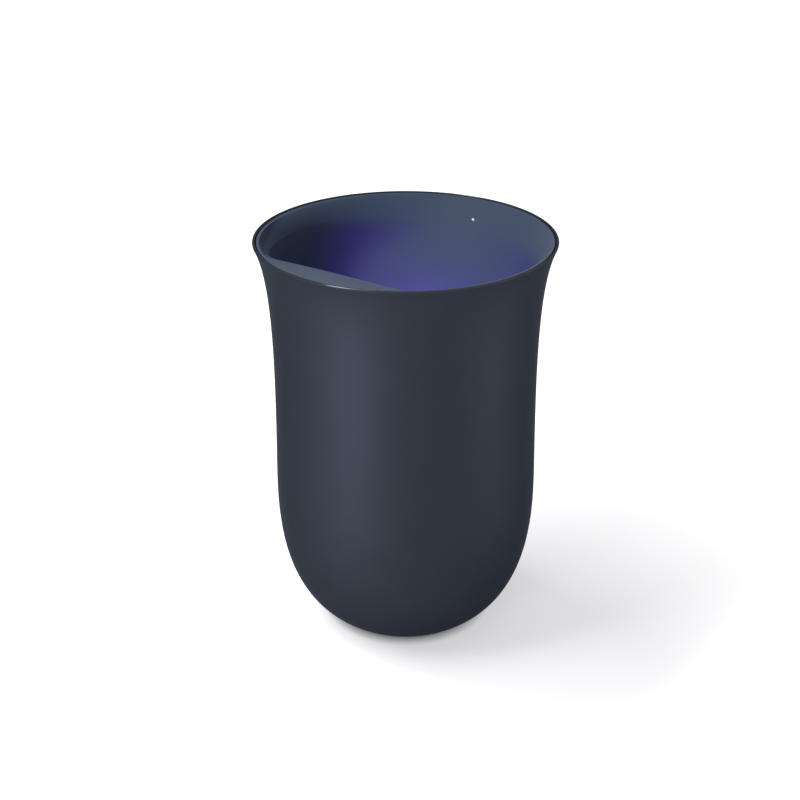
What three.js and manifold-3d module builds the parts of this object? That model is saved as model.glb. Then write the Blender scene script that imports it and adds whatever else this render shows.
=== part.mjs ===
// A flared charging pot for a phone with ultraviolet lamps inside.
// Millimetres, +Z up, origin at the middle of the foot, front towards -Y, charging face and inlet towards +Y.
import * as THREE from 'three';
import { LoftGeometry } from 'three/addons/geometries/LoftGeometry.js';
import { mergeVertices } from 'three/addons/utils/BufferGeometryUtils.js';
import Module from 'manifold-3d';

const degrees = Math.PI / 180;

// Fits shared by all pieces
const gap = 0.3;
const overrun = 1;
const mergeDistance = 0.001;

// Outer shell: foot, belly and rim of its outline, and the handles that round it
const height = 180;
const rimRadius = 64.5;
const rimFlareAngle = 25.7 * degrees;
const rimHandle = 17.1;
const bellyRadius = 57.9;
const bellyHeight = 77.5;
const bellyLeanAngle = 1.2 * degrees;
const bellyHandleUp = 51.1;
const bellyHandleDown = 23.6;
const footRadius = 32.6;
const footFlareAngle = 29.8 * degrees;
const footHandle = 30.9;
const shellWall = 2.2;
const lipWall = 1.2;
const lipDepth = 3;
const lipRound = 0.5;
const shellSides = 48;

// Foot: pad, base plate and the shell's floor ring, from the table upwards
const footProud = 0.5;
const footRim = 3.1;
const padThickness = 1.6;
const padInset = 1.5;
const plateThickness = 3;
const floorThickness = 2.4;
const floorLedge = 1.5;
const ballastClearance = 4.9;
const ballastThickness = 4;

// Legs of the liner, and the screws that draw it down on the base plate
const legPlateInset = 4.7;
const legRadius = 4;
const baseScrewRadius = 1.4;
const baseScrewLength = 16;
const baseScrewHeadRadius = 2.6;
const baseScrewHeadHeight = 1.5;
const counterboreDepth = 2;

// Liner: funnel, front ledge and the slot that the phone leans in
const linerWall = 1.6;
const linerRimDrop = 0.4;
const linerRimWidth = 1;
const creaseDrop = 8;
const ledgeWidth = 27.4;
const shoulderInset = 4.9;
const pocketHalfWidth = 41.5;
const pocketFloorHeight = 29;
const pocketFloorDepth = 16;
const pocketFloorMiddle = 16;
const faceLeanAngle = 15 * degrees;
const faceTopRise = 32;
const faceTopHandle = 22.8;
const backRimAngle = 34 * degrees;
const backRimHandle = 16.9;
const sideStraightHeight = 75;
const sideHandleDown = 38;
const sideHandleUp = 15.7;
const sideShoulderAngle = 16.7 * degrees;
const sideRimHandleDown = 3.1;
const sideRimHandleUp = 2.6;
const sideRimAngle = 51 * degrees;
const pocketPower = 7;
const roundPower = 2;
const limitPower = 40;
const thinWallShare = 0.6;
const linerSides = 48;
const pocketRingShares = [0, 0.4, 0.7, 1];
const funnelRingShares = [0.27, 0.5, 0.7, 0.87, 1];
const ledgeRingShares = [0.2, 0.43, 0.66];

// Rest pad at the floor of the slot
const restPadEndInset = 5.5;
const restPadSideInset = 3.5;
const restPadThickness = 1.6;

// Charging coil stack behind the leaning face, counted outwards from the face
const coilHeight = 98;
const coilInnerRadius = 9;
const coilOuterRadius = 22.5;
const coilTurns = 8;
const coilWire = 1;
const coilWireSides = 6;
const coilStep = 5;
const ferriteMargin = 2.5;
const ferriteThickness = 1;
const ferriteHoleRadius = 4;
const ferriteCorner = 3;
const carrierCorner = 8;
const carrierThickness = 2.2;
const carrierHoleRadius = 5;
const carrierNotchWidth = 10;
const carrierNotchDepth = 7;
const carrierScrewInset = 4.5;
const carrierBossRadius = 3;

// Ultraviolet lamps in the front wall of the slot, counted outwards from the wall
const lampHeight = 118;
const lampFrameDepth = 5;
const lampFrameCorner = 3;
const lampWindowWidth = 36;
const lampWindowHeight = 14;
const lampWindowCorner = 3;
const lampFrameEnd = 8;
const lampFrameEdge = 3;
const lampRebate = 2;
const glassSeatDepth = 1;
const glassThickness = 1.4;
const lampSize = 3.5;
const lampThickness = 1.2;
const lampSpacing = 18;
const lampBoardThickness = 1.6;
const lampScrewInset = 3.6;
const sinkHeight = 15;
const sinkBaseThickness = 2;
const sinkFinHeight = 5;
const sinkFinThickness = 1.5;
const sinkFinCount = 7;
const sinkScrewRoom = 6.4;

// Status light in the back of the funnel
const statusInset = 9.1;
const statusPipeRadius = 0.6;
const statusPipeLength = 3.4;
const statusPipeProud = 0.25;
const statusBoardWidth = 12;
const statusBoardDepth = 5;
const statusBoardThickness = 0.8;
const statusChipWidth = 2;
const statusChipDepth = 1.6;
const statusChipHeight = 0.7;
const statusPegSpacing = 9;
const statusPegRadius = 0.8;
const statusPegProud = 0.6;

// Inlet and push button in the rear of the shell, on one upright board
const portHeight = 34;
const portRecessWidth = 13;
const portRecessHeight = 7.5;
const portRecessDepth = 2.2;
const portRecessCorner = 2.5;
const portBossMargin = 2.5;
const portBossDepth = 4.5;
const socketWidth = 8.94;
const socketHeight = 3.26;
const socketLength = 6.9;
const socketWall = 0.3;
const socketBackThickness = 1.4;
const tongueWidth = 6.7;
const tongueThickness = 0.7;
const tongueLength = 4.6;
const buttonRise = 18;
const buttonRadius = 5;
const buttonProud = 0.8;
const buttonTravel = 0.8;
const buttonFlangeWidth = 1.5;
const buttonFlangeThickness = 1.2;
const buttonGuideDepth = 1.6;
const buttonGuideWidth = 3.2;
const buttonEdgeRound = 0.6;
const switchSize = 6;
const switchDepth = 3.5;
const switchStemRadius = 1.75;
const switchStemReach = 1.3;
const rearBoardWidth = 26;
const rearBoardMargin = 12;
const rearScrewSpacing = 19;
const rearBossRadius = 2.6;

// Boards, connectors and the small screws that hold them
const boardThickness = 1.6;
const boardCorner = 2;
const mainBoardWidth = 48;
const mainBoardBottom = 24;
const mainBoardTop = 68;
const mainScrewInset = 6;
const mainPadRadius = 3;
const mainPadProud = 0.6;
const ribThickness = 2;
const smallScrewRadius = 1;
const smallScrewLength = 5;
const smallScrewHeadRadius = 1.9;
const smallScrewHeadHeight = 1.3;
const plugWidth = 6;
const plugHeight = 5;
const plugDepth = 4.5;
const plugSpacing = 16;
const inductorSize = 12;
const inductorHeight = 5;
const chipSize = 8;
const chipHeight = 1.2;
const capacitorRadius = 3;
const capacitorHeight = 7;
const capacitorSpacing = 9;
const partOffset = 15.4;
const inductorOffset = 2.8;

// Leads between the boards
const leadDiameter = 2;
const leadSides = 8;
const leadStep = 5;

// Colours and finishes
const finishes = {
  shell: { color: 0x353943, roughness: 0.5, metalness: 0 },
  liner: { color: 0x4a5260, roughness: 0.45, metalness: 0 },
  darkPlastic: { color: 0x22252b, roughness: 0.6, metalness: 0 },
  rubber: { color: 0x1b1c1f, roughness: 0.85, metalness: 0 },
  steel: { color: 0x9a9da1, roughness: 0.35, metalness: 1 },
  aluminium: { color: 0xb9bcc0, roughness: 0.4, metalness: 1 },
  board: { color: 0x1f5a3c, roughness: 0.55, metalness: 0 },
  whiteBoard: { color: 0xe6e8ea, roughness: 0.5, metalness: 0 },
  copper: { color: 0xb26a3a, roughness: 0.35, metalness: 1 },
  ferrite: { color: 0x2b2b2e, roughness: 0.7, metalness: 0 },
  glass: { color: 0xcfd8ff, roughness: 0.05, metalness: 0, transparent: true, opacity: 0.4 },
  lamp: { color: 0x7a5cff, roughness: 0.2, metalness: 0, emissive: 0x4a2cff },
  clear: { color: 0xf4f7ff, roughness: 0.15, metalness: 0 },
  lead: { color: 0x2a2d33, roughness: 0.6, metalness: 0 },
};

const wasm = await Module();
wasm.setup();

const root = new THREE.Group();

// Solids: a closed geometry becomes one body, facing out
function solidOf(geometry) {
  const loose = new THREE.BufferGeometry();
  const source = geometry.index ? geometry.toNonIndexed() : geometry;
  loose.setAttribute('position', source.getAttribute('position').clone());
  const merged = mergeVertices(loose, mergeDistance);
  const corners = merged.index.array;
  const kept = [];
  for (let i = 0; i < corners.length; i += 3) {
    const [a, b, c] = corners.slice(i, i + 3);
    if (a !== b && b !== c && c !== a) kept.push(a, b, c);
  }
  const build = (triangles) => new wasm.Manifold(new wasm.Mesh({
    numProp: 3,
    vertProperties: merged.getAttribute('position').array,
    triVerts: new Uint32Array(triangles),
  }));
  const made = build(kept);
  return made.volume() < 0 ? build(kept.toReversed()) : made;
}

function joined(first, ...others) {
  return others.reduce((sum, other) => sum.add(other), first);
}

function cutBy(first, ...tools) {
  return tools.reduce((rest, tool) => rest.subtract(tool), first);
}

function geometryOf(solid) {
  const mesh = solid.getMesh();
  const geometry = new THREE.BufferGeometry();
  geometry.setAttribute('position', new THREE.BufferAttribute(new Float32Array(mesh.vertProperties), 3));
  geometry.setIndex(new THREE.BufferAttribute(new Uint32Array(mesh.triVerts), 1));
  const flat = geometry.toNonIndexed();
  flat.computeVertexNormals();
  return flat;
}

function addPiece(name, solid, finish, parent = root, place = new THREE.Vector3()) {
  const mesh = new THREE.Mesh(geometryOf(solid), new THREE.MeshStandardMaterial(finishes[finish]));
  mesh.name = name;
  mesh.position.copy(place);
  parent.add(mesh);
  return mesh;
}

// Basic forms, each standing on its own origin and running up its Z axis
function moved(geometry, x, y, z) {
  return geometry.translate(x, y, z);
}

function block(width, depth, tall) {
  return moved(new THREE.BoxGeometry(width, depth, tall), 0, 0, tall / 2);
}

function rod(radius, tall, sides = 16) {
  return moved(new THREE.CylinderGeometry(radius, radius, tall, sides).rotateX(Math.PI / 2), 0, 0, tall / 2);
}

function roundedOutline(width, depth, corner) {
  const x = width / 2;
  const y = depth / 2;
  const shape = new THREE.Shape();
  shape.moveTo(x, -y + corner);
  shape.absarc(x - corner, y - corner, corner, 0, Math.PI / 2);
  shape.absarc(-x + corner, y - corner, corner, Math.PI / 2, Math.PI);
  shape.absarc(-x + corner, -y + corner, corner, Math.PI, Math.PI * 1.5);
  shape.absarc(x - corner, -y + corner, corner, Math.PI * 1.5, Math.PI * 2);
  return shape;
}

function roundedBlock(width, depth, corner, tall, curveSegments = 4) {
  const shape = roundedOutline(width, depth, corner);
  return new THREE.ExtrudeGeometry(shape, { depth: tall, bevelEnabled: false, curveSegments });
}

function turned(points, sides) {
  return solidOf(new THREE.LatheGeometry(points, sides).rotateX(Math.PI / 2));
}

function point(across, up) {
  return new THREE.Vector2(across, up);
}

// A screw with its head's underside at the origin and its shank along +Z
function screw(radius, length, headRadius, headHeight) {
  return turned([
    point(0, -headHeight),
    point(headRadius - gap, -headHeight),
    point(headRadius, -headHeight + gap),
    point(headRadius, 0),
    point(radius, 0),
    point(radius, length - radius),
    point(0, length),
  ], 10);
}

// A frame on a wall: its X runs across, its Z points out of the wall
function moduleAt(origin, across, outward) {
  const group = new THREE.Group();
  const up = new THREE.Vector3().crossVectors(outward, across);
  group.quaternion.setFromRotationMatrix(new THREE.Matrix4().makeBasis(across, up, outward));
  group.position.copy(origin);
  root.add(group);
  group.updateMatrixWorld(true);
  return group;
}

function inWorld(group, geometry) {
  return geometry.applyMatrix4(group.matrixWorld);
}

const left = new THREE.Vector3(-1, 0, 0);
const right = new THREE.Vector3(1, 0, 0);
const rearward = new THREE.Vector3(0, 1, 0);

// Outline of the shell, from the foot's edge to the rim
const lowerOutline = new THREE.CubicBezierCurve(
  point(footRadius, footProud),
  point(footRadius + footHandle * Math.cos(footFlareAngle), footProud + footHandle * Math.sin(footFlareAngle)),
  point(
    bellyRadius + bellyHandleDown * Math.sin(bellyLeanAngle),
    bellyHeight - bellyHandleDown * Math.cos(bellyLeanAngle),
  ),
  point(bellyRadius, bellyHeight),
);
const lipTop = height - lipRound;
const upperOutline = new THREE.CubicBezierCurve(
  point(bellyRadius, bellyHeight),
  point(
    bellyRadius - bellyHandleUp * Math.sin(bellyLeanAngle),
    bellyHeight + bellyHandleUp * Math.cos(bellyLeanAngle),
  ),
  point(rimRadius - rimHandle * Math.sin(rimFlareAngle), lipTop - rimHandle * Math.cos(rimFlareAngle)),
  point(rimRadius, lipTop),
);

// Points of the outline, moved into the wall by an inset square to it
function outlinePoints(inset, lowerCount, upperCount) {
  const points = [];
  const follow = (curve, count, first) => {
    for (let i = first; i <= count; i += 1) {
      const place = curve.getPoint(i / count);
      const along = curve.getTangent(i / count);
      points.push(point(place.x - along.y * inset, place.y + along.x * inset));
    }
  };
  follow(lowerOutline, lowerCount, 0);
  follow(upperOutline, upperCount, 1);
  return points;
}

// The first coordinate of a rising line of points at a height
function readAt(points, z) {
  const last = points.length - 1;
  const next = Math.min(Math.max(points.findIndex((each) => each.y > z), 1), last) || last;
  const above = z >= points[last].y ? last : next;
  const low = points[above - 1];
  const high = points[above];
  const share = (z - low.y) / (high.y - low.y);
  return low.x + (high.x - low.x) * share;
}

const fineCount = 120;
const outlineTables = new Map();

function radiusAt(z, inset) {
  if (!outlineTables.has(inset)) outlineTables.set(inset, outlinePoints(inset, fineCount, fineCount));
  return readAt(outlineTables.get(inset), z);
}

// Heights of the foot's layers
const plateBottom = padThickness + gap;
const plateTop = plateBottom + plateThickness;
const floorBottom = plateTop + gap;
const floorTop = floorBottom + floorThickness;
const plateSeatRadius = footRadius - footRim;
const plateRadius = plateSeatRadius - gap;
const ballastBottom = floorTop + gap;
const ballastRadius = radiusAt(ballastBottom, shellWall) - ballastClearance;

// Places of the legs, each under one corner of the slot or on a rib behind it
const legCircleRadius = plateRadius - legPlateInset;
const floorOpeningRadius = legCircleRadius - legRadius - floorLedge;
const legOffset = legCircleRadius * Math.SQRT1_2;
const legPlaces = [[-1, -1], [1, -1], [1, 1], [-1, 1]].map(([x, y]) => [x * legOffset, y * legOffset]);
const baseHoleRadius = baseScrewRadius + gap;
const headHoleRadius = baseScrewHeadRadius + gap;
const smallHoleRadius = smallScrewRadius + gap;

// Rear frame: origin on the outer face of the upright board, at the table's height
const portWallY = radiusAt(portHeight, 0);
const portFloorY = portWallY - portRecessDepth;
const rearBoardY = portFloorY - gap - socketLength - gap;
const rear = moduleAt(new THREE.Vector3(0, rearBoardY, 0), left, rearward);
const portFloor = portFloorY - rearBoardY;
const buttonHeight = portHeight + buttonRise;
const rearBoardBottom = portHeight - rearBoardMargin;
const rearBoardTop = buttonHeight + rearBoardMargin;
const rearScrewHeight = (portHeight + buttonHeight) / 2;
const buttonSurface = radiusAt(buttonHeight, 0) - rearBoardY;
const guideFace = buttonSurface - shellWall - buttonGuideDepth;

function socketOutline(growth) {
  const width = socketWidth + 2 * growth;
  const tall = socketHeight + 2 * growth;
  return roundedOutline(width, tall, tall / 2 - mergeDistance);
}

function socketBlock(growth, tall) {
  return new THREE.ExtrudeGeometry(socketOutline(growth), { depth: tall, bevelEnabled: false, curveSegments: 4 });
}

function rearPlaced(geometry, x, z, outwards) {
  return solidOf(inWorld(rear, moved(geometry, x, z, outwards)));
}

function makeOuterShell() {
  const outer = outlinePoints(0, 9, 7);
  const stepHeight = height - lipDepth;
  const inner = outlinePoints(shellWall, 6, 4).filter((each) => (
    each.y > floorTop + shellWall && each.y < stepHeight - shellWall
  ));
  const profile = [
    ...outer,
    point(rimRadius - lipRound * (1 - Math.SQRT1_2), height - lipRound * (1 - Math.SQRT1_2)),
    point(rimRadius - lipRound, height),
    point(radiusAt(lipTop, lipWall) + lipRound / 2, height),
    point(radiusAt(lipTop, lipWall), lipTop),
    point(radiusAt(stepHeight, lipWall), stepHeight),
    point(radiusAt(stepHeight, shellWall), stepHeight),
    ...inner.toReversed(),
    point(radiusAt(floorTop, shellWall), floorTop),
    point(floorOpeningRadius, floorTop),
    point(floorOpeningRadius, floorBottom),
    point(plateSeatRadius, floorBottom),
    point(plateSeatRadius, footProud),
    point(footRadius, footProud),
  ];
  const wall = turned(profile, shellSides);

  // Bosses inside the rear wall, trimmed at the middle of that wall
  const core = turned([
    point(0, floorTop),
    ...outlinePoints(shellWall / 2, 6, 4).filter((each) => each.y > floorTop && each.y < stepHeight),
    point(0, stepHeight),
  ], shellSides);
  const reach = buttonSurface + overrun;
  const portBoss = rearPlaced(roundedBlock(
    portRecessWidth + 2 * portBossMargin,
    portRecessHeight + 2 * portBossMargin,
    portRecessCorner,
    reach,
  ), 0, portHeight, portFloor - portBossDepth);
  const guide = rearPlaced(rod(buttonRadius + buttonGuideWidth, reach, 28), 0, buttonHeight, guideFace);
  const screwBosses = [-1, 1].map((side) => (
    rearPlaced(rod(rearBossRadius, reach, 16), side * rearScrewSpacing / 2, rearScrewHeight, gap)
  ));
  const bosses = joined(portBoss, guide, ...screwBosses).intersect(core);

  // Openings: plug recess, socket slot, button hole, screw bores
  const recess = rearPlaced(
    roundedBlock(portRecessWidth, portRecessHeight, portRecessCorner, reach),
    0,
    portHeight,
    portFloor,
  );
  const slot = rearPlaced(socketBlock(gap, reach), 0, portHeight, 0);
  const buttonHole = rearPlaced(rod(buttonRadius + gap, reach, 28), 0, buttonHeight, 0);
  const bores = [-1, 1].map((side) => rearPlaced(
    rod(smallHoleRadius, smallScrewLength, 8),
    side * rearScrewSpacing / 2,
    rearScrewHeight,
    0,
  ));
  const floorHoles = legPlaces.map(([x, y]) => solidOf(
    moved(rod(baseHoleRadius, floorThickness + 2 * overrun, 8), x, y, floorBottom - overrun),
  ));
  return cutBy(wall.add(bosses), recess, slot, buttonHole, ...bores, ...floorHoles);
}

// Liner: heights and outlines of its sections
const linerTop = height - linerRimDrop;
const flangeBottom = height - lipDepth + gap;
const linerRimRadius = radiusAt(linerTop, lipWall + gap) - linerRimWidth;
const creaseHeight = height - creaseDrop;
const creaseDistance = linerRimRadius - ledgeWidth;
const shoulderHalfWidth = linerRimRadius - shoulderInset;
const faceTop = coilHeight + faceTopRise;
const pocketFrontY = -pocketFloorMiddle - pocketFloorDepth / 2;
const pocketBackY = -pocketFloorMiddle + pocketFloorDepth / 2;

function faceY(z) {
  return pocketBackY + (z - pocketFloorHeight) * Math.tan(faceLeanAngle);
}

function frontWallY(z) {
  const share = (z - pocketFloorHeight) / (creaseHeight - pocketFloorHeight);
  return THREE.MathUtils.lerp(pocketFrontY, -creaseDistance, share);
}

const backOutline = new THREE.CubicBezierCurve(
  point(faceY(faceTop), faceTop),
  point(
    faceY(faceTop) + faceTopHandle * Math.sin(faceLeanAngle),
    faceTop + faceTopHandle * Math.cos(faceLeanAngle),
  ),
  point(
    linerRimRadius - backRimHandle * Math.cos(backRimAngle),
    linerTop - backRimHandle * Math.sin(backRimAngle),
  ),
  point(linerRimRadius, linerTop),
).getPoints(fineCount);

const sideOutline = [
  ...new THREE.CubicBezierCurve(
    point(pocketHalfWidth, sideStraightHeight),
    point(pocketHalfWidth, sideStraightHeight + sideHandleDown),
    point(
      shoulderHalfWidth - sideHandleUp * Math.sin(sideShoulderAngle),
      creaseHeight - sideHandleUp * Math.cos(sideShoulderAngle),
    ),
    point(shoulderHalfWidth, creaseHeight),
  ).getPoints(fineCount),
  ...new THREE.CubicBezierCurve(
    point(shoulderHalfWidth, creaseHeight),
    point(
      shoulderHalfWidth + sideRimHandleDown * Math.sin(sideShoulderAngle),
      creaseHeight + sideRimHandleDown * Math.cos(sideShoulderAngle),
    ),
    point(
      linerRimRadius - sideRimHandleUp * Math.sin(sideRimAngle),
      linerTop - sideRimHandleUp * Math.cos(sideRimAngle),
    ),
    point(linerRimRadius, linerTop),
  ).getPoints(fineCount).slice(1),
];

// A half of a section runs from a round line to a nearly straight one as its power grows
function linerSection(z, growth, placeZ, limit) {
  const ledgeShare = THREE.MathUtils.clamp((z - creaseHeight) / (linerTop - creaseHeight), 0, 1);
  const funnelShare = THREE.MathUtils.smoothstep(z, faceTop, creaseHeight);
  const slotShare = THREE.MathUtils.clamp((z - pocketFloorHeight) / (creaseHeight - pocketFloorHeight), 0, 1);
  const middle = -pocketFloorMiddle * (1 - slotShare);
  const frontY = z < creaseHeight
    ? frontWallY(z)
    : THREE.MathUtils.lerp(-creaseDistance, -linerRimRadius, ledgeShare);
  const backY = z < faceTop ? faceY(z) : readAt(backOutline, z);
  const halfWidth = (z < sideStraightHeight ? pocketHalfWidth : readAt(sideOutline, z)) + growth;
  const frontPower = THREE.MathUtils.lerp(pocketPower, roundPower, ledgeShare);
  const backPower = THREE.MathUtils.lerp(pocketPower, roundPower, funnelShare);
  const points = [];
  for (let i = 0; i < linerSides; i += 1) {
    const angle = (i / linerSides) * Math.PI * 2;
    const power = angle < Math.PI ? backPower : frontPower;
    const reach = angle < Math.PI ? backY + growth - middle : middle - frontY + growth;
    const across = Math.cos(angle);
    const along = Math.sin(angle);
    const size = (Math.abs(across) ** power + Math.abs(along) ** power) ** (-1 / power);
    const x = halfWidth * across * size;
    const y = middle + reach * along * size;
    const held = (1 + (Math.hypot(x, y) / limit) ** limitPower) ** (-1 / limitPower);
    points.push(new THREE.Vector3(x * held, y * held, placeZ));
  }
  return points;
}

function roundSection(radius, z) {
  const points = [];
  for (let i = 0; i < linerSides; i += 1) {
    const angle = (i / linerSides) * Math.PI * 2;
    points.push(new THREE.Vector3(radius * Math.cos(angle), radius * Math.sin(angle), z));
  }
  return points;
}

const sectionHeights = [
  ...pocketRingShares.map((share) => THREE.MathUtils.lerp(pocketFloorHeight, faceTop, share)),
  ...funnelRingShares.map((share) => THREE.MathUtils.lerp(faceTop, creaseHeight, share)),
  ...ledgeRingShares.map((share) => THREE.MathUtils.lerp(creaseHeight, linerTop, share)),
];

// Frames on the back of the leaning face and on the front wall of the slot
const faceOutward = new THREE.Vector3(0, Math.cos(faceLeanAngle), -Math.sin(faceLeanAngle));
const faceSkin = linerWall * Math.tan(faceLeanAngle) + linerWall;
const charger = moduleAt(new THREE.Vector3(0, faceY(coilHeight) + faceSkin, coilHeight), left, faceOutward);

const frontLeanAngle = Math.atan((creaseDistance + pocketFrontY) / (creaseHeight - pocketFloorHeight));
const frontOutward = new THREE.Vector3(0, -Math.cos(frontLeanAngle), -Math.sin(frontLeanAngle));
const frontSkin = linerWall * Math.tan(frontLeanAngle) + linerWall;
const lamps = moduleAt(new THREE.Vector3(0, frontWallY(lampHeight) - frontSkin, lampHeight), right, frontOutward);

// Frame on the funnel's back, square to its surface, for the status light
const statusDistance = linerRimRadius - statusInset;
const statusHeight = backOutline.find((each) => each.x > statusDistance).y;
const statusBelow = readAt(backOutline, statusHeight - statusPipeRadius);
const statusAbove = readAt(backOutline, statusHeight + statusPipeRadius);
const statusSlopeAngle = Math.atan2(2 * statusPipeRadius, statusAbove - statusBelow);
const statusOutward = new THREE.Vector3(0, -Math.sin(statusSlopeAngle), Math.cos(statusSlopeAngle));
const status = moduleAt(new THREE.Vector3(0, statusDistance, statusHeight), right, statusOutward);

// Stack heights in those frames
const coilMiddle = gap + coilWire / 2;
const ferriteBottom = gap + coilWire + gap;
const carrierBottom = ferriteBottom + ferriteThickness + gap;
const carrierTop = carrierBottom + carrierThickness;
const ferriteSize = 2 * (coilOuterRadius + ferriteMargin);
const cornerReach = (ferriteCorner + gap + carrierBossRadius) * Math.SQRT1_2;
const carrierScrewOffset = ferriteSize / 2 - ferriteCorner + cornerReach;
const carrierSize = 2 * (carrierScrewOffset + carrierScrewInset);
const carrierScrewPlaces = [[-1, -1], [1, -1], [1, 1], [-1, 1]].map(([x, y]) => (
  [x * carrierScrewOffset, y * carrierScrewOffset]
));
const carrierBoreDepth = carrierBottom - gap;

const lampFrameWidth = lampWindowWidth + 2 * (lampRebate + lampFrameEnd);
const lampFrameHeight = lampWindowHeight + 2 * (lampRebate + lampFrameEdge);
const glassBottom = glassSeatDepth + gap;
const lampBoardBottom = lampFrameDepth + gap;
const lampBoardTop = lampBoardBottom + lampBoardThickness;
const sinkBottom = lampBoardTop + gap;
const lampScrewX = lampFrameWidth / 2 - lampScrewInset;
const sinkFinnedWidth = 2 * (lampScrewX - sinkScrewRoom);
const sinkMiddle = (lampFrameHeight - sinkHeight) / 2;
const statusBoardTop = -(statusPipeLength - statusPipeProud) - gap - statusChipHeight;
const statusBoardBottom = statusBoardTop - statusBoardThickness;

const mainPadFace = legOffset + legRadius + mainPadProud;
const mainBoardY = mainPadFace + gap;
const mainBoardRearY = mainBoardY + boardThickness;
const mainScrewHeights = [mainBoardBottom + mainScrewInset, mainBoardTop - mainScrewInset];
const legTop = mainBoardTop - mainScrewInset + mainPadRadius;

function placedOn(group, geometry, x, y, outwards) {
  return solidOf(inWorld(group, moved(geometry, x, y, outwards)));
}

// Rods that point along -Y, for bores in the legs
function forwardRod(radius, long, x, y, z, sides) {
  return solidOf(moved(rod(radius, long, sides).rotateX(Math.PI / 2), x, y, z));
}

function makeLegs() {
  const legs = [];
  const sunk = linerWall / 2;
  for (const [x, y] of legPlaces) {
    const isRear = y > 0;
    const top = isRear ? legTop : pocketFloorHeight - sunk;
    legs.push(solidOf(moved(rod(legRadius, top - ballastBottom, 12), x, y, ballastBottom)));
    if (!isRear) continue;

    // The rib that carries a rear leg follows the leaning face
    const wallY = (z) => faceY(z) + sunk;
    const ribBottom = pocketFloorHeight - linerWall;
    const shape = new THREE.Shape([
      point(wallY(ribBottom), ribBottom),
      point(y, ribBottom),
      point(y, legTop),
      point(wallY(legTop), legTop),
    ]);
    const rib = new THREE.ExtrudeGeometry(shape, { depth: ribThickness, bevelEnabled: false });
    rib.rotateX(Math.PI / 2).rotateZ(Math.PI / 2);
    legs.push(solidOf(moved(rib, x - ribThickness / 2, 0, 0)));
    for (const z of mainScrewHeights) {
      legs.push(forwardRod(mainPadRadius, legRadius + mainPadProud, x, mainPadFace, z, 10));
    }
  }
  return legs;
}

function makeInnerLiner() {
  const outer = sectionHeights.map((z) => {
    const placeZ = z - linerWall;
    return linerSection(z, linerWall, placeZ, radiusAt(placeZ, shellWall + gap));
  });
  const inner = sectionHeights.map((z) => (
    linerSection(z, 0, z, radiusAt(z, shellWall + gap + linerWall * thinWallShare))
  ));
  const flange = [
    roundSection(radiusAt(flangeBottom, shellWall + gap), flangeBottom),
    roundSection(radiusAt(flangeBottom, lipWall + gap), flangeBottom),
    roundSection(radiusAt(linerTop, lipWall + gap), linerTop),
  ];
  const mouth = [
    roundSection(linerRimRadius, linerTop),
    roundSection(linerRimRadius, linerTop + overrun),
  ];
  const caps = { capStart: true, capEnd: true };
  const body = solidOf(new LoftGeometry([...outer, ...flange], caps));
  const cavity = solidOf(new LoftGeometry([...inner, ...mouth], caps));
  const wall = body.subtract(cavity);

  // Bosses for the coil carrier, frame for the lamp window, pegs for the status board
  const sunk = linerWall / 2;
  const bosses = carrierScrewPlaces.map(([x, y]) => (
    placedOn(charger, rod(carrierBossRadius, carrierBoreDepth + sunk, 10), x, y, -sunk)
  ));
  const frame = placedOn(
    lamps,
    roundedBlock(lampFrameWidth, lampFrameHeight, lampFrameCorner, lampFrameDepth + sunk),
    0,
    0,
    -sunk,
  );
  const pegBottom = statusBoardBottom - statusPegProud;
  const pegs = [-1, 1].map((side) => placedOn(
    status,
    rod(statusPegRadius, -sunk - pegBottom, 10),
    side * statusPegSpacing / 2,
    0,
    pegBottom,
  ));

  // Openings
  const throughWall = 2 * linerWall + overrun;
  const window = placedOn(
    lamps,
    roundedBlock(lampWindowWidth, lampWindowHeight, lampWindowCorner, throughWall + lampFrameDepth),
    0,
    0,
    -throughWall,
  );
  const rebate = placedOn(
    lamps,
    roundedBlock(
      lampWindowWidth + 2 * lampRebate,
      lampWindowHeight + 2 * lampRebate,
      lampWindowCorner + lampRebate,
      lampFrameDepth,
    ),
    0,
    0,
    glassSeatDepth,
  );
  const lampBores = [-1, 1].map((side) => placedOn(
    lamps,
    rod(smallHoleRadius, lampFrameDepth, 8),
    side * lampScrewX,
    0,
    lampFrameDepth - smallScrewLength + lampBoardThickness + sinkBaseThickness,
  ));
  const carrierBores = carrierScrewPlaces.map(([x, y]) => (
    placedOn(charger, rod(smallHoleRadius, carrierBoreDepth + overrun, 8), x, y, 0)
  ));
  const statusHole = placedOn(
    status,
    rod(statusPipeRadius + gap, 2 * throughWall, 14),
    0,
    0,
    -throughWall,
  );
  const legBores = legPlaces.map(([x, y]) => solidOf(moved(
    rod(baseHoleRadius, baseScrewLength + overrun, 8),
    x,
    y,
    plateBottom + counterboreDepth,
  )));
  const boreDepth = smallScrewLength - boardThickness - gap + overrun / 2;
  const mainBores = legPlaces.filter(([, y]) => y > 0).flatMap(([x]) => mainScrewHeights.map((z) => (
    forwardRod(smallHoleRadius, boreDepth + overrun, x, mainPadFace + overrun, z, 12)
  )));
  return cutBy(
    joined(wall, ...makeLegs(), ...bosses, frame, ...pegs),
    window,
    rebate,
    ...lampBores,
    ...carrierBores,
    statusHole,
    ...legBores,
    ...mainBores,
  );
}

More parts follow.
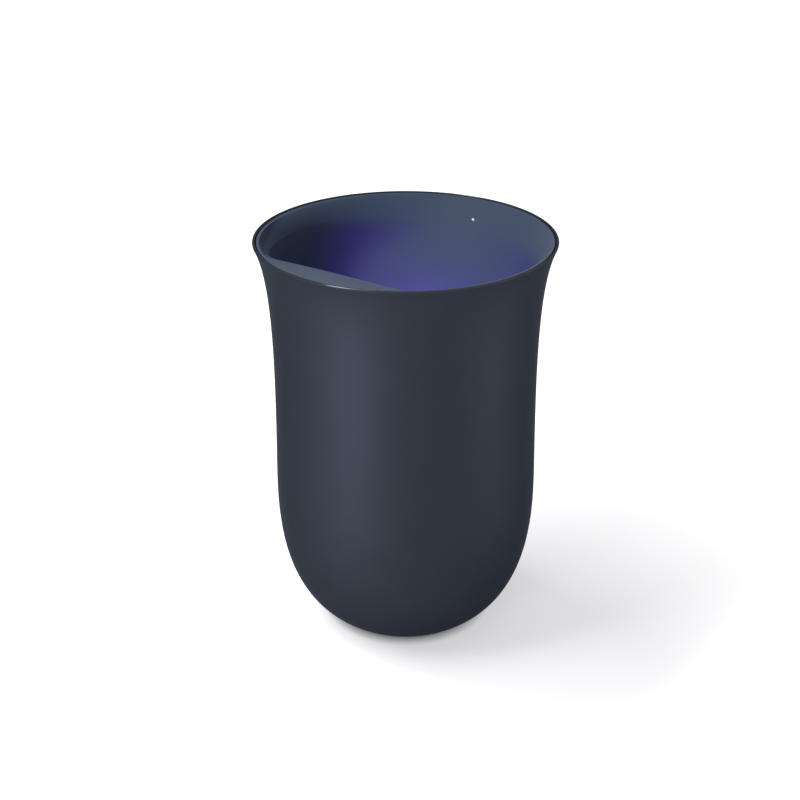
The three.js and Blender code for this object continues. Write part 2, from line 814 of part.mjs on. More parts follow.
// Foot
function makeFoot() {
  addPiece('foot_pad', turned([
    point(0, 0),
    point(plateRadius - padInset - gap, 0),
    point(plateRadius - padInset, gap),
    point(plateRadius - padInset, padThickness),
    point(0, padThickness),
  ], 40), 'rubber');

  const plate = solidOf(moved(rod(plateRadius, plateThickness, 40), 0, 0, plateBottom));
  const plateHoles = legPlaces.flatMap(([x, y]) => [
    solidOf(moved(rod(baseHoleRadius, plateThickness + 2 * overrun, 8), x, y, plateBottom - overrun)),
    solidOf(moved(rod(headHoleRadius, counterboreDepth + overrun, 16), x, y, plateBottom - overrun)),
  ]);
  addPiece('base_plate', cutBy(plate, ...plateHoles), 'darkPlastic');

  const ballast = solidOf(moved(rod(ballastRadius, ballastThickness, 40), 0, 0, ballastBottom));
  const legHoles = legPlaces.map(([x, y]) => solidOf(moved(
    rod(legRadius + gap, ballastThickness + 2 * overrun, 16),
    x,
    y,
    ballastBottom - overrun,
  )));
  addPiece('ballast_plate', cutBy(ballast, ...legHoles), 'steel');

  legPlaces.forEach(([x, y], i) => {
    const solid = screw(baseScrewRadius, baseScrewLength, baseScrewHeadRadius, baseScrewHeadHeight);
    const seat = plateBottom + counterboreDepth - gap;
    addPiece(`base_screw_${i + 1}`, solid, 'steel', root, new THREE.Vector3(x, y, seat));
  });
}

// Rear board with the inlet and the push button
function makeRear() {
  const boardTall = rearBoardTop - rearBoardBottom;
  const boardMiddle = (rearBoardTop + rearBoardBottom) / 2;
  const board = solidOf(moved(
    roundedBlock(rearBoardWidth, boardTall, boardCorner, boardThickness, 2),
    0,
    boardMiddle,
    -boardThickness,
  ));
  const plug = solidOf(moved(
    block(plugWidth, plugHeight, plugDepth + boardThickness / 2),
    0,
    rearBoardBottom + plugHeight / 2,
    -boardThickness / 2 - plugDepth - boardThickness / 2,
  ));
  const holes = [-1, 1].map((side) => solidOf(moved(
    rod(smallHoleRadius, boardThickness + 2 * overrun, 8),
    side * rearScrewSpacing / 2,
    rearScrewHeight,
    -boardThickness - overrun,
  )));
  addPiece('rear_board', cutBy(board.add(plug), ...holes), 'board', rear);

  [-1, 1].forEach((side, i) => {
    const solid = screw(smallScrewRadius, smallScrewLength, smallScrewHeadRadius, smallScrewHeadHeight);
    const place = new THREE.Vector3(side * rearScrewSpacing / 2, rearScrewHeight, -boardThickness - gap);
    addPiece(`rear_board_screw_${i + 1}`, solid, 'steel', rear, place);
  });

  const shell = solidOf(socketBlock(0, socketLength));
  const mouth = solidOf(moved(socketBlock(-socketWall, socketLength), 0, 0, socketBackThickness));
  addPiece('usb_c_receptacle', shell.subtract(mouth), 'steel', rear, new THREE.Vector3(0, portHeight, gap));
  addPiece(
    'usb_c_tongue',
    solidOf(block(tongueWidth, tongueThickness, tongueLength)),
    'darkPlastic',
    rear,
    new THREE.Vector3(0, portHeight, gap + socketBackThickness + gap),
  );

  // Switch body with a well for its stem, which moves with the button
  const switchBottom = gap;
  const switchTop = switchBottom + switchDepth;
  const stemBottom = switchTop - switchStemReach;
  const wellBottom = stemBottom - buttonTravel - gap;
  const body = solidOf(moved(block(switchSize, switchSize, switchDepth), 0, buttonHeight, switchBottom));
  const well = solidOf(moved(rod(switchStemRadius + gap, switchDepth, 16), 0, buttonHeight, wellBottom));
  addPiece('button_switch', body.subtract(well), 'darkPlastic', rear);

  const flangeTop = guideFace - gap;
  const flangeBottomFace = flangeTop - buttonFlangeThickness;
  const stemLength = flangeBottomFace - gap - stemBottom;
  addPiece(
    'switch_stem',
    solidOf(rod(switchStemRadius, stemLength, 16)),
    'darkPlastic',
    rear,
    new THREE.Vector3(0, buttonHeight, stemBottom),
  );

  const flangeRadius = buttonRadius + buttonFlangeWidth;
  const capTop = buttonSurface + buttonProud - flangeBottomFace;
  const cap = turned([
    point(0, 0),
    point(flangeRadius, 0),
    point(flangeRadius, buttonFlangeThickness),
    point(buttonRadius, buttonFlangeThickness),
    point(buttonRadius, capTop - buttonEdgeRound),
    point(buttonRadius - buttonEdgeRound * (1 - Math.SQRT1_2), capTop - buttonEdgeRound * (1 - Math.SQRT1_2)),
    point(buttonRadius - buttonEdgeRound, capTop),
    point(0, capTop - buttonEdgeRound / 2),
  ], 28);
  addPiece('power_button', cap, 'shell', rear, new THREE.Vector3(0, buttonHeight, flangeBottomFace));
}

// Coil stack. The wire is one tube: from its plug through the ferrite's hole, round the turns and back
function coilPoints() {
  const toWorld = (x, y, z) => new THREE.Vector3(x, y, z).applyMatrix4(charger.matrixWorld);
  const plugZ = mainBoardTop + gap;
  const plugY = mainBoardRearY + plugDepth / 2;
  const points = [];
  const clear = carrierTop + smallScrewHeadHeight + gap;

  // Chosen by hand: up from the plug, over the back of the carrier and in through the hole
  points.push(new THREE.Vector3(-plugSpacing / 2 + coilWire, plugY, plugZ));
  points.push(new THREE.Vector3(-plugSpacing / 2 + coilWire, plugY, plugZ + plugHeight));
  points.push(toWorld(ferriteHoleRadius, -carrierSize / 4, clear + plugHeight));
  points.push(toWorld(0, -ferriteHoleRadius, clear + coilWire));
  points.push(toWorld(0, 0, carrierTop));
  points.push(toWorld(0, 0, carrierBottom));
  points.push(toWorld(coilWire, 0, ferriteBottom));
  points.push(toWorld(coilInnerRadius / 2, 0, coilMiddle));

  const perTurn = 24;
  for (let i = 0; i <= coilTurns * perTurn; i += 1) {
    const angle = (-i / perTurn) * Math.PI * 2;
    const radius = THREE.MathUtils.lerp(
      coilInnerRadius + coilWire / 2,
      coilOuterRadius - coilWire / 2,
      i / (coilTurns * perTurn),
    );
    points.push(toWorld(radius * Math.cos(angle), radius * Math.sin(angle), coilMiddle));
  }

  // The outer end runs down beside the ferrite, back through the carrier's notch and to the plug
  const edge = carrierSize / 2 - carrierNotchDepth / 2;
  points.push(toWorld(coilOuterRadius + coilWire, -coilOuterRadius / 2, coilMiddle));
  points.push(toWorld(ferriteSize / 2 - ferriteCorner, -edge + coilWire, coilMiddle));
  points.push(toWorld(ferriteSize / 4, -edge, coilMiddle));
  points.push(toWorld(plugSpacing / 2 + coilWire, -edge, ferriteBottom));
  points.push(toWorld(plugSpacing / 2, -edge, carrierTop));
  points.push(toWorld(plugSpacing / 2 + coilWire, -edge, clear + plugHeight));
  points.push(new THREE.Vector3(-plugSpacing / 2 - coilWire, plugY, plugZ + plugHeight));
  points.push(new THREE.Vector3(-plugSpacing / 2 - coilWire, plugY, plugZ));
  return points;
}

function tube(points, diameter, sides, step) {
  const path = new THREE.CatmullRomCurve3(points, false, 'centripetal');
  path.arcLengthDivisions = points.length * 20;
  const shape = new THREE.Shape();
  shape.absarc(0, 0, diameter / 2, 0, Math.PI * 2);
  const steps = Math.ceil(path.getLength() / step);
  const cover = { steps, extrudePath: path, curveSegments: sides / 2, bevelEnabled: false };
  return { solid: solidOf(new THREE.ExtrudeGeometry(shape, cover)), path, steps };
}

function leastGap(path, steps, diameter) {
  const places = path.getSpacedPoints(steps * 2);
  const skip = Math.ceil((4 * diameter) / (path.getLength() / (steps * 2)));
  let least = Infinity;
  for (let i = 0; i < places.length; i += 1) {
    for (let j = i + skip; j < places.length; j += 1) {
      least = Math.min(least, places[i].distanceTo(places[j]) - diameter);
    }
  }
  return least;
}

function makeCharger() {
  const coil = tube(coilPoints(), coilWire, coilWireSides, coilStep);
  addPiece('charging_coil', coil.solid, 'copper');
  console.log(`charging_coil: least gap to itself ${leastGap(coil.path, coil.steps, coilWire).toFixed(2)} mm`);

  const ferrite = solidOf(roundedBlock(ferriteSize, ferriteSize, ferriteCorner, ferriteThickness, 2));
  const ferriteHole = solidOf(moved(rod(ferriteHoleRadius, ferriteThickness + 2 * overrun, 16), 0, 0, -overrun));
  const ferritePlace = new THREE.Vector3(0, 0, ferriteBottom);
  addPiece('ferrite_plate', ferrite.subtract(ferriteHole), 'ferrite', charger, ferritePlace);

  const carrier = solidOf(roundedBlock(carrierSize, carrierSize, carrierCorner, carrierThickness, 3));
  const through = carrierThickness + 2 * overrun;
  const carrierHole = solidOf(moved(rod(carrierHoleRadius, through, 16), 0, 0, -overrun));
  const notch = solidOf(moved(
    block(carrierNotchWidth, 2 * carrierNotchDepth, through),
    plugSpacing / 2,
    -carrierSize / 2,
    -overrun,
  ));
  const holes = carrierScrewPlaces.map(([x, y]) => (
    solidOf(moved(rod(smallHoleRadius, through, 8), x, y, -overrun))
  ));
  const carrierPlace = new THREE.Vector3(0, 0, carrierBottom);
  addPiece('coil_carrier', cutBy(carrier, carrierHole, notch, ...holes), 'aluminium', charger, carrierPlace);

  carrierScrewPlaces.forEach(([x, y], i) => {
    const solid = screw(
      smallScrewRadius,
      carrierBoreDepth + carrierThickness,
      smallScrewHeadRadius,
      smallScrewHeadHeight,
    );
    const mesh = addPiece(`carrier_screw_${i + 1}`, solid, 'steel', charger);
    mesh.position.set(x, y, carrierTop + gap);
    mesh.rotation.x = Math.PI;
  });
}

// Lamp module: glass, two lamps, board and finned sink
function makeLamps() {
  const glass = solidOf(roundedBlock(
    lampWindowWidth + 2 * (lampRebate - gap),
    lampWindowHeight + 2 * (lampRebate - gap),
    lampWindowCorner + lampRebate - gap,
    glassThickness,
  ));
  addPiece('uv_window', glass, 'glass', lamps, new THREE.Vector3(0, 0, glassBottom));

  [-1, 1].forEach((side, i) => {
    const place = new THREE.Vector3(side * lampSpacing / 2, 0, lampBoardBottom - gap - lampThickness);
    addPiece(`uv_led_${i + 1}`, solidOf(block(lampSize, lampSize, lampThickness)), 'lamp', lamps, place);
  });

  const board = solidOf(roundedBlock(lampFrameWidth, lampFrameHeight, lampFrameCorner, lampBoardThickness, 2));
  const plug = solidOf(moved(
    block(plugWidth, plugHeight, plugDepth + lampBoardThickness / 2),
    0,
    -lampFrameHeight / 2 + plugHeight / 2,
    lampBoardThickness / 2,
  ));
  const screwHoles = [-1, 1].map((side) => solidOf(moved(
    rod(smallHoleRadius, lampBoardThickness + 2 * overrun, 8),
    side * lampScrewX,
    0,
    -overrun,
  )));
  const boardPlace = new THREE.Vector3(0, 0, lampBoardBottom);
  addPiece('uv_led_board', cutBy(board.add(plug), ...screwHoles), 'whiteBoard', lamps, boardPlace);

  const base = solidOf(moved(block(lampFrameWidth, sinkHeight, sinkBaseThickness), 0, sinkMiddle, 0));
  const fins = [];
  for (let i = 0; i < sinkFinCount; i += 1) {
    const x = THREE.MathUtils.lerp(-sinkFinnedWidth / 2, sinkFinnedWidth / 2, i / (sinkFinCount - 1));
    const fin = block(sinkFinThickness, sinkHeight, sinkFinHeight + sinkBaseThickness / 2);
    fins.push(solidOf(moved(fin, x, sinkMiddle, sinkBaseThickness / 2)));
  }
  const sinkHoles = [-1, 1].map((side) => solidOf(moved(
    rod(smallHoleRadius, sinkBaseThickness + 2 * overrun, 8),
    side * lampScrewX,
    0,
    -overrun,
  )));
  const sinkPlace = new THREE.Vector3(0, 0, sinkBottom);
  addPiece('uv_heat_sink', cutBy(joined(base, ...fins), ...sinkHoles), 'aluminium', lamps, sinkPlace);

  [-1, 1].forEach((side, i) => {
    const length = sinkBaseThickness + lampBoardThickness + smallScrewLength / 2;
    const solid = screw(smallScrewRadius, length, smallScrewHeadRadius, smallScrewHeadHeight);
    const mesh = addPiece(`uv_screw_${i + 1}`, solid, 'steel', lamps);
    mesh.position.set(side * lampScrewX, 0, sinkBottom + sinkBaseThickness + gap);
    mesh.rotation.x = Math.PI;
  });
}

// Status light: a clear pipe through the funnel's wall over a chip on a small board
function makeStatusLight() {
  const pipeBottom = -(statusPipeLength - statusPipeProud);
  const pipe = turned([
    point(0, 0),
    point(statusPipeRadius, 0),
    point(statusPipeRadius, statusPipeLength - statusPipeProud),
    point(statusPipeRadius * Math.SQRT1_2, statusPipeLength - statusPipeProud * (1 - Math.SQRT1_2)),
    point(0, statusPipeLength),
  ], 16);
  addPiece('status_light_pipe', pipe, 'clear', status, new THREE.Vector3(0, 0, pipeBottom));

  const board = solidOf(block(statusBoardWidth, statusBoardDepth, statusBoardThickness));
  const chip = solidOf(moved(
    block(statusChipWidth, statusChipDepth, statusChipHeight + statusBoardThickness / 2),
    0,
    0,
    statusBoardThickness / 2,
  ));
  const pegHoles = [-1, 1].map((side) => solidOf(moved(
    rod(statusPegRadius + gap, statusBoardThickness + 2 * overrun, 10),
    side * statusPegSpacing / 2,
    0,
    -overrun,
  )));
  const place = new THREE.Vector3(0, 0, statusBoardBottom);
  addPiece('status_led_board', cutBy(board.add(chip), ...pegHoles), 'whiteBoard', status, place);
}

// Main board on the rear legs, with its parts and four plugs soldered on
function makeMainBoard() {
  const boardTall = mainBoardTop - mainBoardBottom;
  const middle = (mainBoardTop + mainBoardBottom) / 2;
  const group = moduleAt(new THREE.Vector3(0, mainBoardY, 0), left, rearward);
  const sunk = boardThickness / 2;
  const board = solidOf(moved(
    roundedBlock(mainBoardWidth, boardTall, boardCorner, boardThickness, 2),
    0,
    middle,
    0,
  ));
  const onBoard = (geometry, x, z) => solidOf(moved(geometry, x, z, sunk));
  const parts = [
    onBoard(block(inductorSize, inductorSize, inductorHeight + sunk), 0, middle + inductorOffset),
    onBoard(block(chipSize, chipSize, chipHeight + sunk), partOffset, middle),
    ...[-1, 1].map((side) => onBoard(
      rod(capacitorRadius, capacitorHeight + sunk, 14),
      -partOffset,
      middle + side * capacitorSpacing / 2,
    )),
  ];
  for (const side of [-1, 1]) {
    for (const z of [mainBoardBottom + plugHeight / 2, mainBoardTop - plugHeight / 2]) {
      parts.push(onBoard(block(plugWidth, plugHeight, plugDepth + sunk), side * plugSpacing / 2, z));
    }
  }
  const holes = [-1, 1].flatMap((side) => mainScrewHeights.map((z) => solidOf(moved(
    rod(smallHoleRadius, boardThickness + 2 * overrun, 8),
    side * legOffset,
    z,
    -overrun,
  ))));
  addPiece('main_board', cutBy(joined(board, ...parts), ...holes), 'board', group);

  let count = 0;
  for (const side of [-1, 1]) {
    for (const z of mainScrewHeights) {
      count += 1;
      const solid = screw(smallScrewRadius, smallScrewLength, smallScrewHeadRadius, smallScrewHeadHeight);
      const mesh = addPiece(`main_board_screw_${count}`, solid, 'steel', group);
      mesh.position.set(side * legOffset, z, boardThickness + gap);
      mesh.rotation.x = Math.PI;
    }
  }
}

// Leads, each from plug to plug. Their places are chosen by hand along the free room in the housing
function makeLeads() {
  const plugY = mainBoardRearY + plugDepth / 2;
  const lowPlug = mainBoardBottom - gap;
  const highPlug = mainBoardTop + gap;
  const lampPlug = new THREE.Vector3(0, -lampFrameHeight / 2 - gap, lampBoardTop + plugDepth / 2);
  const lampEnd = lampPlug.clone().applyMatrix4(lamps.matrixWorld);
  const lampRun = lampPlug.clone().setY(lampPlug.y - 3 * leadDiameter).applyMatrix4(lamps.matrixWorld);
  const underSlot = pocketFloorHeight - linerWall - 3 * leadDiameter;
  const onFloor = ballastBottom + ballastThickness + leadDiameter;
  addPiece('uv_lead', tube([
    lampEnd,
    lampRun,
    new THREE.Vector3(0, lampRun.y, lampRun.z - plugSpacing),
    new THREE.Vector3(0, pocketFrontY - 7 * leadDiameter, pocketFloorHeight + plugSpacing),
    new THREE.Vector3(0, pocketFrontY - 4 * leadDiameter, pocketFloorHeight),
    new THREE.Vector3(0, -legOffset, underSlot - leadDiameter / 2),
    new THREE.Vector3(0, 0, underSlot - leadDiameter),
    new THREE.Vector3(-plugSpacing / 4, legOffset, onFloor + leadDiameter / 2),
    new THREE.Vector3(-plugSpacing / 2, plugY - leadDiameter / 2, onFloor + leadDiameter),
    new THREE.Vector3(-plugSpacing / 2, plugY, lowPlug - leadDiameter),
    new THREE.Vector3(-plugSpacing / 2, plugY, lowPlug),
  ], leadDiameter, leadSides, leadStep).solid, 'lead');

  const rearPlugY = rearBoardY - boardThickness - plugDepth / 2;
  const rearPlug = rearBoardBottom - gap;
  addPiece('power_lead', tube([
    new THREE.Vector3(0, rearPlugY, rearPlug),
    new THREE.Vector3(0, rearPlugY, rearPlug - leadDiameter),
    new THREE.Vector3(plugSpacing / 4, (rearPlugY + plugY) / 2 + leadDiameter, onFloor + leadDiameter / 2),
    new THREE.Vector3(plugSpacing / 2, plugY + leadDiameter, onFloor + leadDiameter),
    new THREE.Vector3(plugSpacing / 2, plugY, lowPlug - leadDiameter),
    new THREE.Vector3(plugSpacing / 2, plugY, lowPlug),
  ], leadDiameter, leadSides, leadStep).solid, 'lead');

  const edge = new THREE.Vector3(
    statusBoardWidth / 4,
    -statusBoardDepth / 2 - gap,
    (statusBoardTop + statusBoardBottom) / 2,
  );
  const statusEnd = edge.clone().applyMatrix4(status.matrixWorld);
  const statusRun = edge.clone().setY(edge.y - leadDiameter).applyMatrix4(status.matrixWorld);
  const besideShell = (z) => radiusAt(z, shellWall) - 2.5 * leadDiameter;
  const statusDrop = statusRun.z - 3 * leadDiameter;
  addPiece('status_lead', tube([
    statusEnd,
    statusRun,
    new THREE.Vector3(statusRun.x, besideShell(statusDrop), statusDrop),
    new THREE.Vector3(statusRun.x, besideShell(faceTop), faceTop),
    new THREE.Vector3(plugSpacing / 3, (besideShell(coilHeight) * 2 + plugY) / 3, coilHeight),
    new THREE.Vector3(plugSpacing / 2, plugY + 3 * leadDiameter, highPlug + plugSpacing / 2 + leadDiameter),
    new THREE.Vector3(plugSpacing / 2, plugY, highPlug + leadDiameter * 2),
    new THREE.Vector3(plugSpacing / 2, plugY, highPlug),
  ], leadDiameter, leadSides, leadStep).solid, 'lead');
}

addPiece('outer_shell', makeOuterShell(), 'shell');
addPiece('inner_liner', makeInnerLiner(), 'liner');
makeFoot();
makeRear();
makeCharger();
makeLamps();
makeStatusLight();
makeMainBoard();
makeLeads();
const restPadLength = 2 * (pocketHalfWidth - restPadEndInset);
const restPadDepth = pocketFloorDepth - 2 * restPadSideInset;
addPiece('rest_pad', solidOf(moved(
  roundedBlock(restPadLength, restPadDepth, restPadDepth / 3, restPadThickness),
  0,
  -pocketFloorMiddle,
  pocketFloorHeight + gap,
)), 'rubber');

export default root;
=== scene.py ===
import math

import bmesh
import bpy
from mathutils import Matrix, Quaternion, Vector


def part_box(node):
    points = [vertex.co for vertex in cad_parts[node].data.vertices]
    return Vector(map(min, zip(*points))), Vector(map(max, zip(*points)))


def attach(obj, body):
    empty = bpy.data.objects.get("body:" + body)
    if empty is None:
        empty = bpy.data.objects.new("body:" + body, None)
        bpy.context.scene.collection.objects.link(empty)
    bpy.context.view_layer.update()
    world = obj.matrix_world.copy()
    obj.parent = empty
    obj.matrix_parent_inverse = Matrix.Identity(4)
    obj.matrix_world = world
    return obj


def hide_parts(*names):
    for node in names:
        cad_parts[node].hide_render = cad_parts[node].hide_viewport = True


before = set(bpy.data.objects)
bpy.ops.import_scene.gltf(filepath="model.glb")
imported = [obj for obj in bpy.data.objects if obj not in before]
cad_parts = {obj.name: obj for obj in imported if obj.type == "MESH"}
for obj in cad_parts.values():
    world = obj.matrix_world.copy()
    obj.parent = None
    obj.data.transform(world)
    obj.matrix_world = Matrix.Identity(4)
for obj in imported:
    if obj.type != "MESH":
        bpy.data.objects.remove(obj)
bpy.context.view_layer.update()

mm = 0.001

# Camera, solved from the pot's outline
camera_azimuth = math.radians(35)
camera_elevation = math.radians(25.522)
camera_distance = 640 * mm
camera_aim = Vector((0, 0, 103.78 * mm))
camera_lens = 64.95
camera_shift = -0.00705
camera_sensor = 36

# Fits shared by the pieces
gap = 0.3 * mm
overrun = 1 * mm
merge_distance = 0.001 * mm
quarter_turn = math.radians(90)
rearward = -quarter_turn

# Fineness of round shapes, and the angle under which a face is shaded as one with the next
arc_count = 5
edge_segments = 3
corner_segments = 8
turned_sides = 96
rod_sides = 32
button_sides = 64
smooth_angle = math.radians(35)
liner_smooth_angle = math.radians(50)
lens_smooth_angle = math.radians(60)

# Outer shell: foot, belly and rim of its outline, and the handles that round it
height = 180 * mm
rim_radius = 64.5 * mm
rim_flare_angle = math.radians(25.7)
rim_handle = 17.1 * mm
belly_radius = 57.9 * mm
belly_height = 77.5 * mm
belly_lean_angle = math.radians(1.2)
belly_handle_up = 51.1 * mm
belly_handle_down = 23.6 * mm
foot_radius = 32.6 * mm
foot_flare_angle = math.radians(29.8)
foot_handle = 30.9 * mm
shell_wall = 2.2 * mm
lip_wall = 1.2 * mm
lip_depth = 3 * mm
lip_round = 0.5 * mm
lip_inner_round = 0.3 * mm
dark_lip_share = 0.6
shell_sides = 192
outline_count = 48
wall_count = 24

# Foot: pad, base plate and the shell's floor ring
foot_proud = 0.5 * mm
foot_rim = 3.1 * mm
foot_edge_round = 0.4 * mm
pad_thickness = 1.6 * mm
pad_inset = 1.5 * mm
pad_edge_round = 0.5 * mm
plate_thickness = 3 * mm
plate_edge_round = 0.3 * mm
floor_thickness = 2.4 * mm
floor_opening_radius = 19 * mm
leg_offset = 17.324 * mm
leg_radius = 4 * mm
base_hole_radius = 1.7 * mm
head_hole_radius = 2.9 * mm
counterbore_depth = 2 * mm

# Liner: funnel, front ledge and the slot that the phone leans in
liner_wall = 1.6 * mm
liner_rim_drop = 0.4 * mm
liner_rim_width = 1 * mm
liner_rim_round = 0.3 * mm
liner_roll_start = 0.45 * mm
liner_roll_depth = 4 * mm
rim_relief = 2.6 * mm
crease_drop = 8 * mm
crease_round = 0.3 * mm
crease_end_round = 8 * mm
crease_end_power = 4
ledge_width = 27.4 * mm
shoulder_inset = 4.9 * mm
pocket_half_width = 41.5 * mm
pocket_floor_height = 29 * mm
pocket_floor_depth = 16 * mm
pocket_floor_middle = 16 * mm
pocket_floor_round = 1.5 * mm
face_lean_angle = math.radians(15)
face_top = 130 * mm
face_top_handle = 22.8 * mm
back_rim_angle = math.radians(34)
back_rim_handle = 16.9 * mm
side_straight_height = 75 * mm
side_handle_down = 38 * mm
side_handle_up = 15.7 * mm
side_shoulder_angle = math.radians(16.7)
side_rim_handle_down = 3.1 * mm
side_rim_handle_up = 2.6 * mm
side_rim_angle = math.radians(51)
pocket_power = 7
round_power = 2
limit_power = 40
thin_wall_share = 0.6
liner_sides = 192
table_count = 160
slot_ring_count = 14
funnel_ring_count = 22
ledge_ring_count = 3
roll_ring_count = 16
crease_ring_count = 7
crease_ring_reach = 3 * mm
floor_round_count = 5
outer_ring_count = 16
rib_thickness = 2 * mm
rib_corner = 0.5 * mm
rear_leg_top = 65 * mm

# Ultraviolet lamp window in the front wall of the slot
lamp_height = 118 * mm
lamp_frame_width = 56 * mm
lamp_frame_height = 24 * mm
lamp_frame_depth = 5 * mm
lamp_frame_corner = 3 * mm
lamp_window_width = 36 * mm
lamp_window_height = 14 * mm
lamp_window_corner = 3 * mm
lamp_rebate = 2 * mm
glass_seat_depth = 1 * mm
lamp_size = 3.5 * mm
lamp_corner = 0.4 * mm
lamp_base_thickness = 0.7 * mm
lamp_dome_radius = 1.3 * mm
lamp_dome_height = 0.5 * mm
lamp_dome_sides = 32
lamp_dome_rings = 16

# Rest pad, status light, inlet and button
rest_pad_edge_round = 0.5 * mm
rest_pad_length = 72 * mm
rest_pad_depth = 9 * mm
rest_pad_thickness = 1.6 * mm
rest_pad_corner = 3 * mm
rest_pad_groove_count = 13
rest_pad_groove_spacing = 5 * mm
rest_pad_groove_width = 1 * mm
rest_pad_groove_depth = 0.4 * mm
rest_pad_groove_corner = 0.25 * mm
status_pipe_radius = 0.6 * mm
status_pipe_length = 3.4 * mm
status_pipe_proud = 0.25 * mm
crown_angles = (0, 20, 40, 60, 80)
status_distance = 52.79 * mm
port_height = 34 * mm
port_recess_width = 13 * mm
port_recess_height = 7.5 * mm
port_recess_depth = 2.2 * mm
port_recess_corner = 2.5 * mm
port_boss_margin = 2.5 * mm
port_boss_depth = 4.5 * mm
socket_width = 8.94 * mm
socket_height = 3.26 * mm
socket_length = 6.9 * mm
socket_wall = 0.3 * mm
socket_back_thickness = 1.4 * mm
button_height = 52 * mm
button_radius = 5 * mm
button_flange_width = 1.5 * mm
button_flange_thickness = 1.2 * mm
button_guide_depth = 1.6 * mm
button_guide_width = 3.2 * mm
button_edge_round = 0.6 * mm
button_dish_depth = 0.35 * mm
button_dish_shares = (0.8, 0.7, 0.55, 0.4, 0.25, 0.1)

# Grain and gloss of the finishes
mottle_stops = (0.35, 0.65)
mottle_detail = 3
moulding_mottle_size = 12 * mm
metal_mottle_size = 2 * mm
wire_mottle_size = 1 * mm
board_mottle_size = 1.5 * mm
ferrite_mottle_size = 3 * mm
plain_mottle_share = 0.06
calm_mottle_share = 0.02
ferrite_mottle_share = 0.2
board_mottle_share = 0.3
plain_gloss_share = 0.06
calm_gloss_share = 0.03
grain_size = 0.5 * mm
grain_detail = 2
grain_relief = 0.01 * mm
rubber_relief = 0.02 * mm
shell_metal_share = 0.6
shell_edge_tint = 0.42
lip_edge_tint = 0.47
liner_specular = 0.06
plain_specular = 0.5
glass_index = 1.46
glass_transmission = 0.95
lamp_strength = 6
status_strength = 0.3

# Light, and how much the floor shines by itself where it is seen
white = (1, 1, 1)
violet = (0.41, 0.16, 1)
key_turn = math.radians(89)
key_elevation = math.radians(64)
key_roll = math.radians(56)
key_distance = 1300 * mm
key_width = 245 * mm
key_height = 1180 * mm
key_power = 12
front_turn = math.radians(41)
front_elevation = math.radians(-7)
front_distance = 560 * mm
front_width = 130 * mm
front_height = 60 * mm
front_power = 1.9
side_turn = math.radians(-70)
side_elevation = math.radians(-7)
side_distance = 560 * mm
side_width = 120 * mm
side_height = 60 * mm
side_power = 0.85
glow_spread = math.radians(120)
glow_power = 0.077
ambient_strength = 0.34
floor_size = 6000 * mm
floor_colour = (0.88, 0.88, 0.89)
# Bluish glow, which paints a cool tint into the floor's shadow
floor_lift_shadow_tint = (0.985, 0.98, 1)
# Painted shadow: the floor glows less within reach of the key's shadow than on the open floor,
# deepening that shadow and painting out the shade beside the foot
shadow_lift = 0.46
open_lift = 0.65
shadow_reach = 80 * mm
shadow_end = 90 * mm
open_start = 130 * mm
horizon_lift_share = 1.6
near_floor = 300 * mm
far_floor = 1000 * mm
# Painted contact shade: near the foot's edge the floor's glow drops to this share
contact_painted_shade_share = 0.1
contact_painted_shade_start = 32.5 * mm
contact_painted_shade_end = 39 * mm


# Lines of points
def bezier(knots, share):
    rest = 1 - share
    weights = (rest**3, 3 * rest**2 * share, 3 * rest * share**2, share**3)
    return sum((knot * weight for knot, weight in zip(knots, weights)), Vector((0, 0)))


def bezier_direction(knots, share):
    rest = 1 - share
    weights = (rest**2, 2 * rest * share, share**2)
    sides = [after - before for before, after in zip(knots, knots[1:])]
    total = sum((side * weight for side, weight in zip(sides, weights)), Vector((0, 0)))
    return total.normalized()


def point(across, up):
    return Vector((across, up))


def leaning(start, length, angle):
    return start + point(math.sin(angle), math.cos(angle)) * length


def spread(start, end, count):
    return [start + (end - start) * step / count for step in range(1, count + 1)]


def read_at(points, z):
    above = next((i for i, each in enumerate(points) if each.y > z), len(points) - 1)
    above = max(above, 1)
    low = points[above - 1]
    high = points[above]
    return low.x + (high.x - low.x) * (z - low.y) / (high.y - low.y)


# Outline of the shell, from the foot's edge to the rim
lip_top = height - lip_round
foot_corner = point(foot_radius, foot_proud)
belly = point(belly_radius, belly_height)
rim = point(rim_radius, lip_top)
lower_outline = (
    foot_corner,
    foot_corner + point(math.cos(foot_flare_angle), math.sin(foot_flare_angle)) * foot_handle,
    leaning(belly, -belly_handle_down, -belly_lean_angle),
    belly,
)
upper_outline = (
    belly,
    leaning(belly, belly_handle_up, -belly_lean_angle),
    leaning(rim, -rim_handle, rim_flare_angle),
    rim,
)


def outline_points(inset, count):
    points = []
    for curve in (lower_outline, upper_outline):
        for step in range(count + 1):
            along = bezier_direction(curve, step / count)
            points.append(bezier(curve, step / count) + point(-along.y, along.x) * inset)
    return points[: count + 1] + points[count + 2 :]


outline_tables = {}


def radius_at(z, inset):
    if inset not in outline_tables:
        outline_tables[inset] = outline_points(inset, table_count)
    return read_at(outline_tables[inset], z)


# A profile of corners, each turned into an arc of its own radius
def rounded(corners):
    points = []
    for i, (place, radius) in enumerate(corners):
        if not radius:
            points.append(place)
            continue
        to_before = (corners[i - 1][0] - place).normalized()
        to_after = (corners[(i + 1) % len(corners)][0] - place).normalized()
        half = to_before.angle(to_after) / 2
        centre = place + (to_before + to_after).normalized() * radius / math.sin(half)
        spoke = place + to_before * radius / math.tan(half) - centre
        last_spoke = place + to_after * radius / math.tan(half) - centre
        turn = math.copysign(math.pi - 2 * half, spoke.cross(last_spoke))
        for step in range(arc_count + 1):
            points.append(centre + Matrix.Rotation(turn * step / arc_count, 2) @ spoke)
    return points


# Modelling by hand: one piece is selected, edited and left with its place in its mesh
def only(piece):
    bpy.ops.object.select_all(action="DESELECT")
    piece.select_set(True)
    bpy.context.view_layer.objects.active = piece


def named(name):
    piece = bpy.context.active_object
    piece.name = name
    piece.data.name = name
    bpy.ops.object.transform_apply(location=True, rotation=True, scale=True)
    return piece


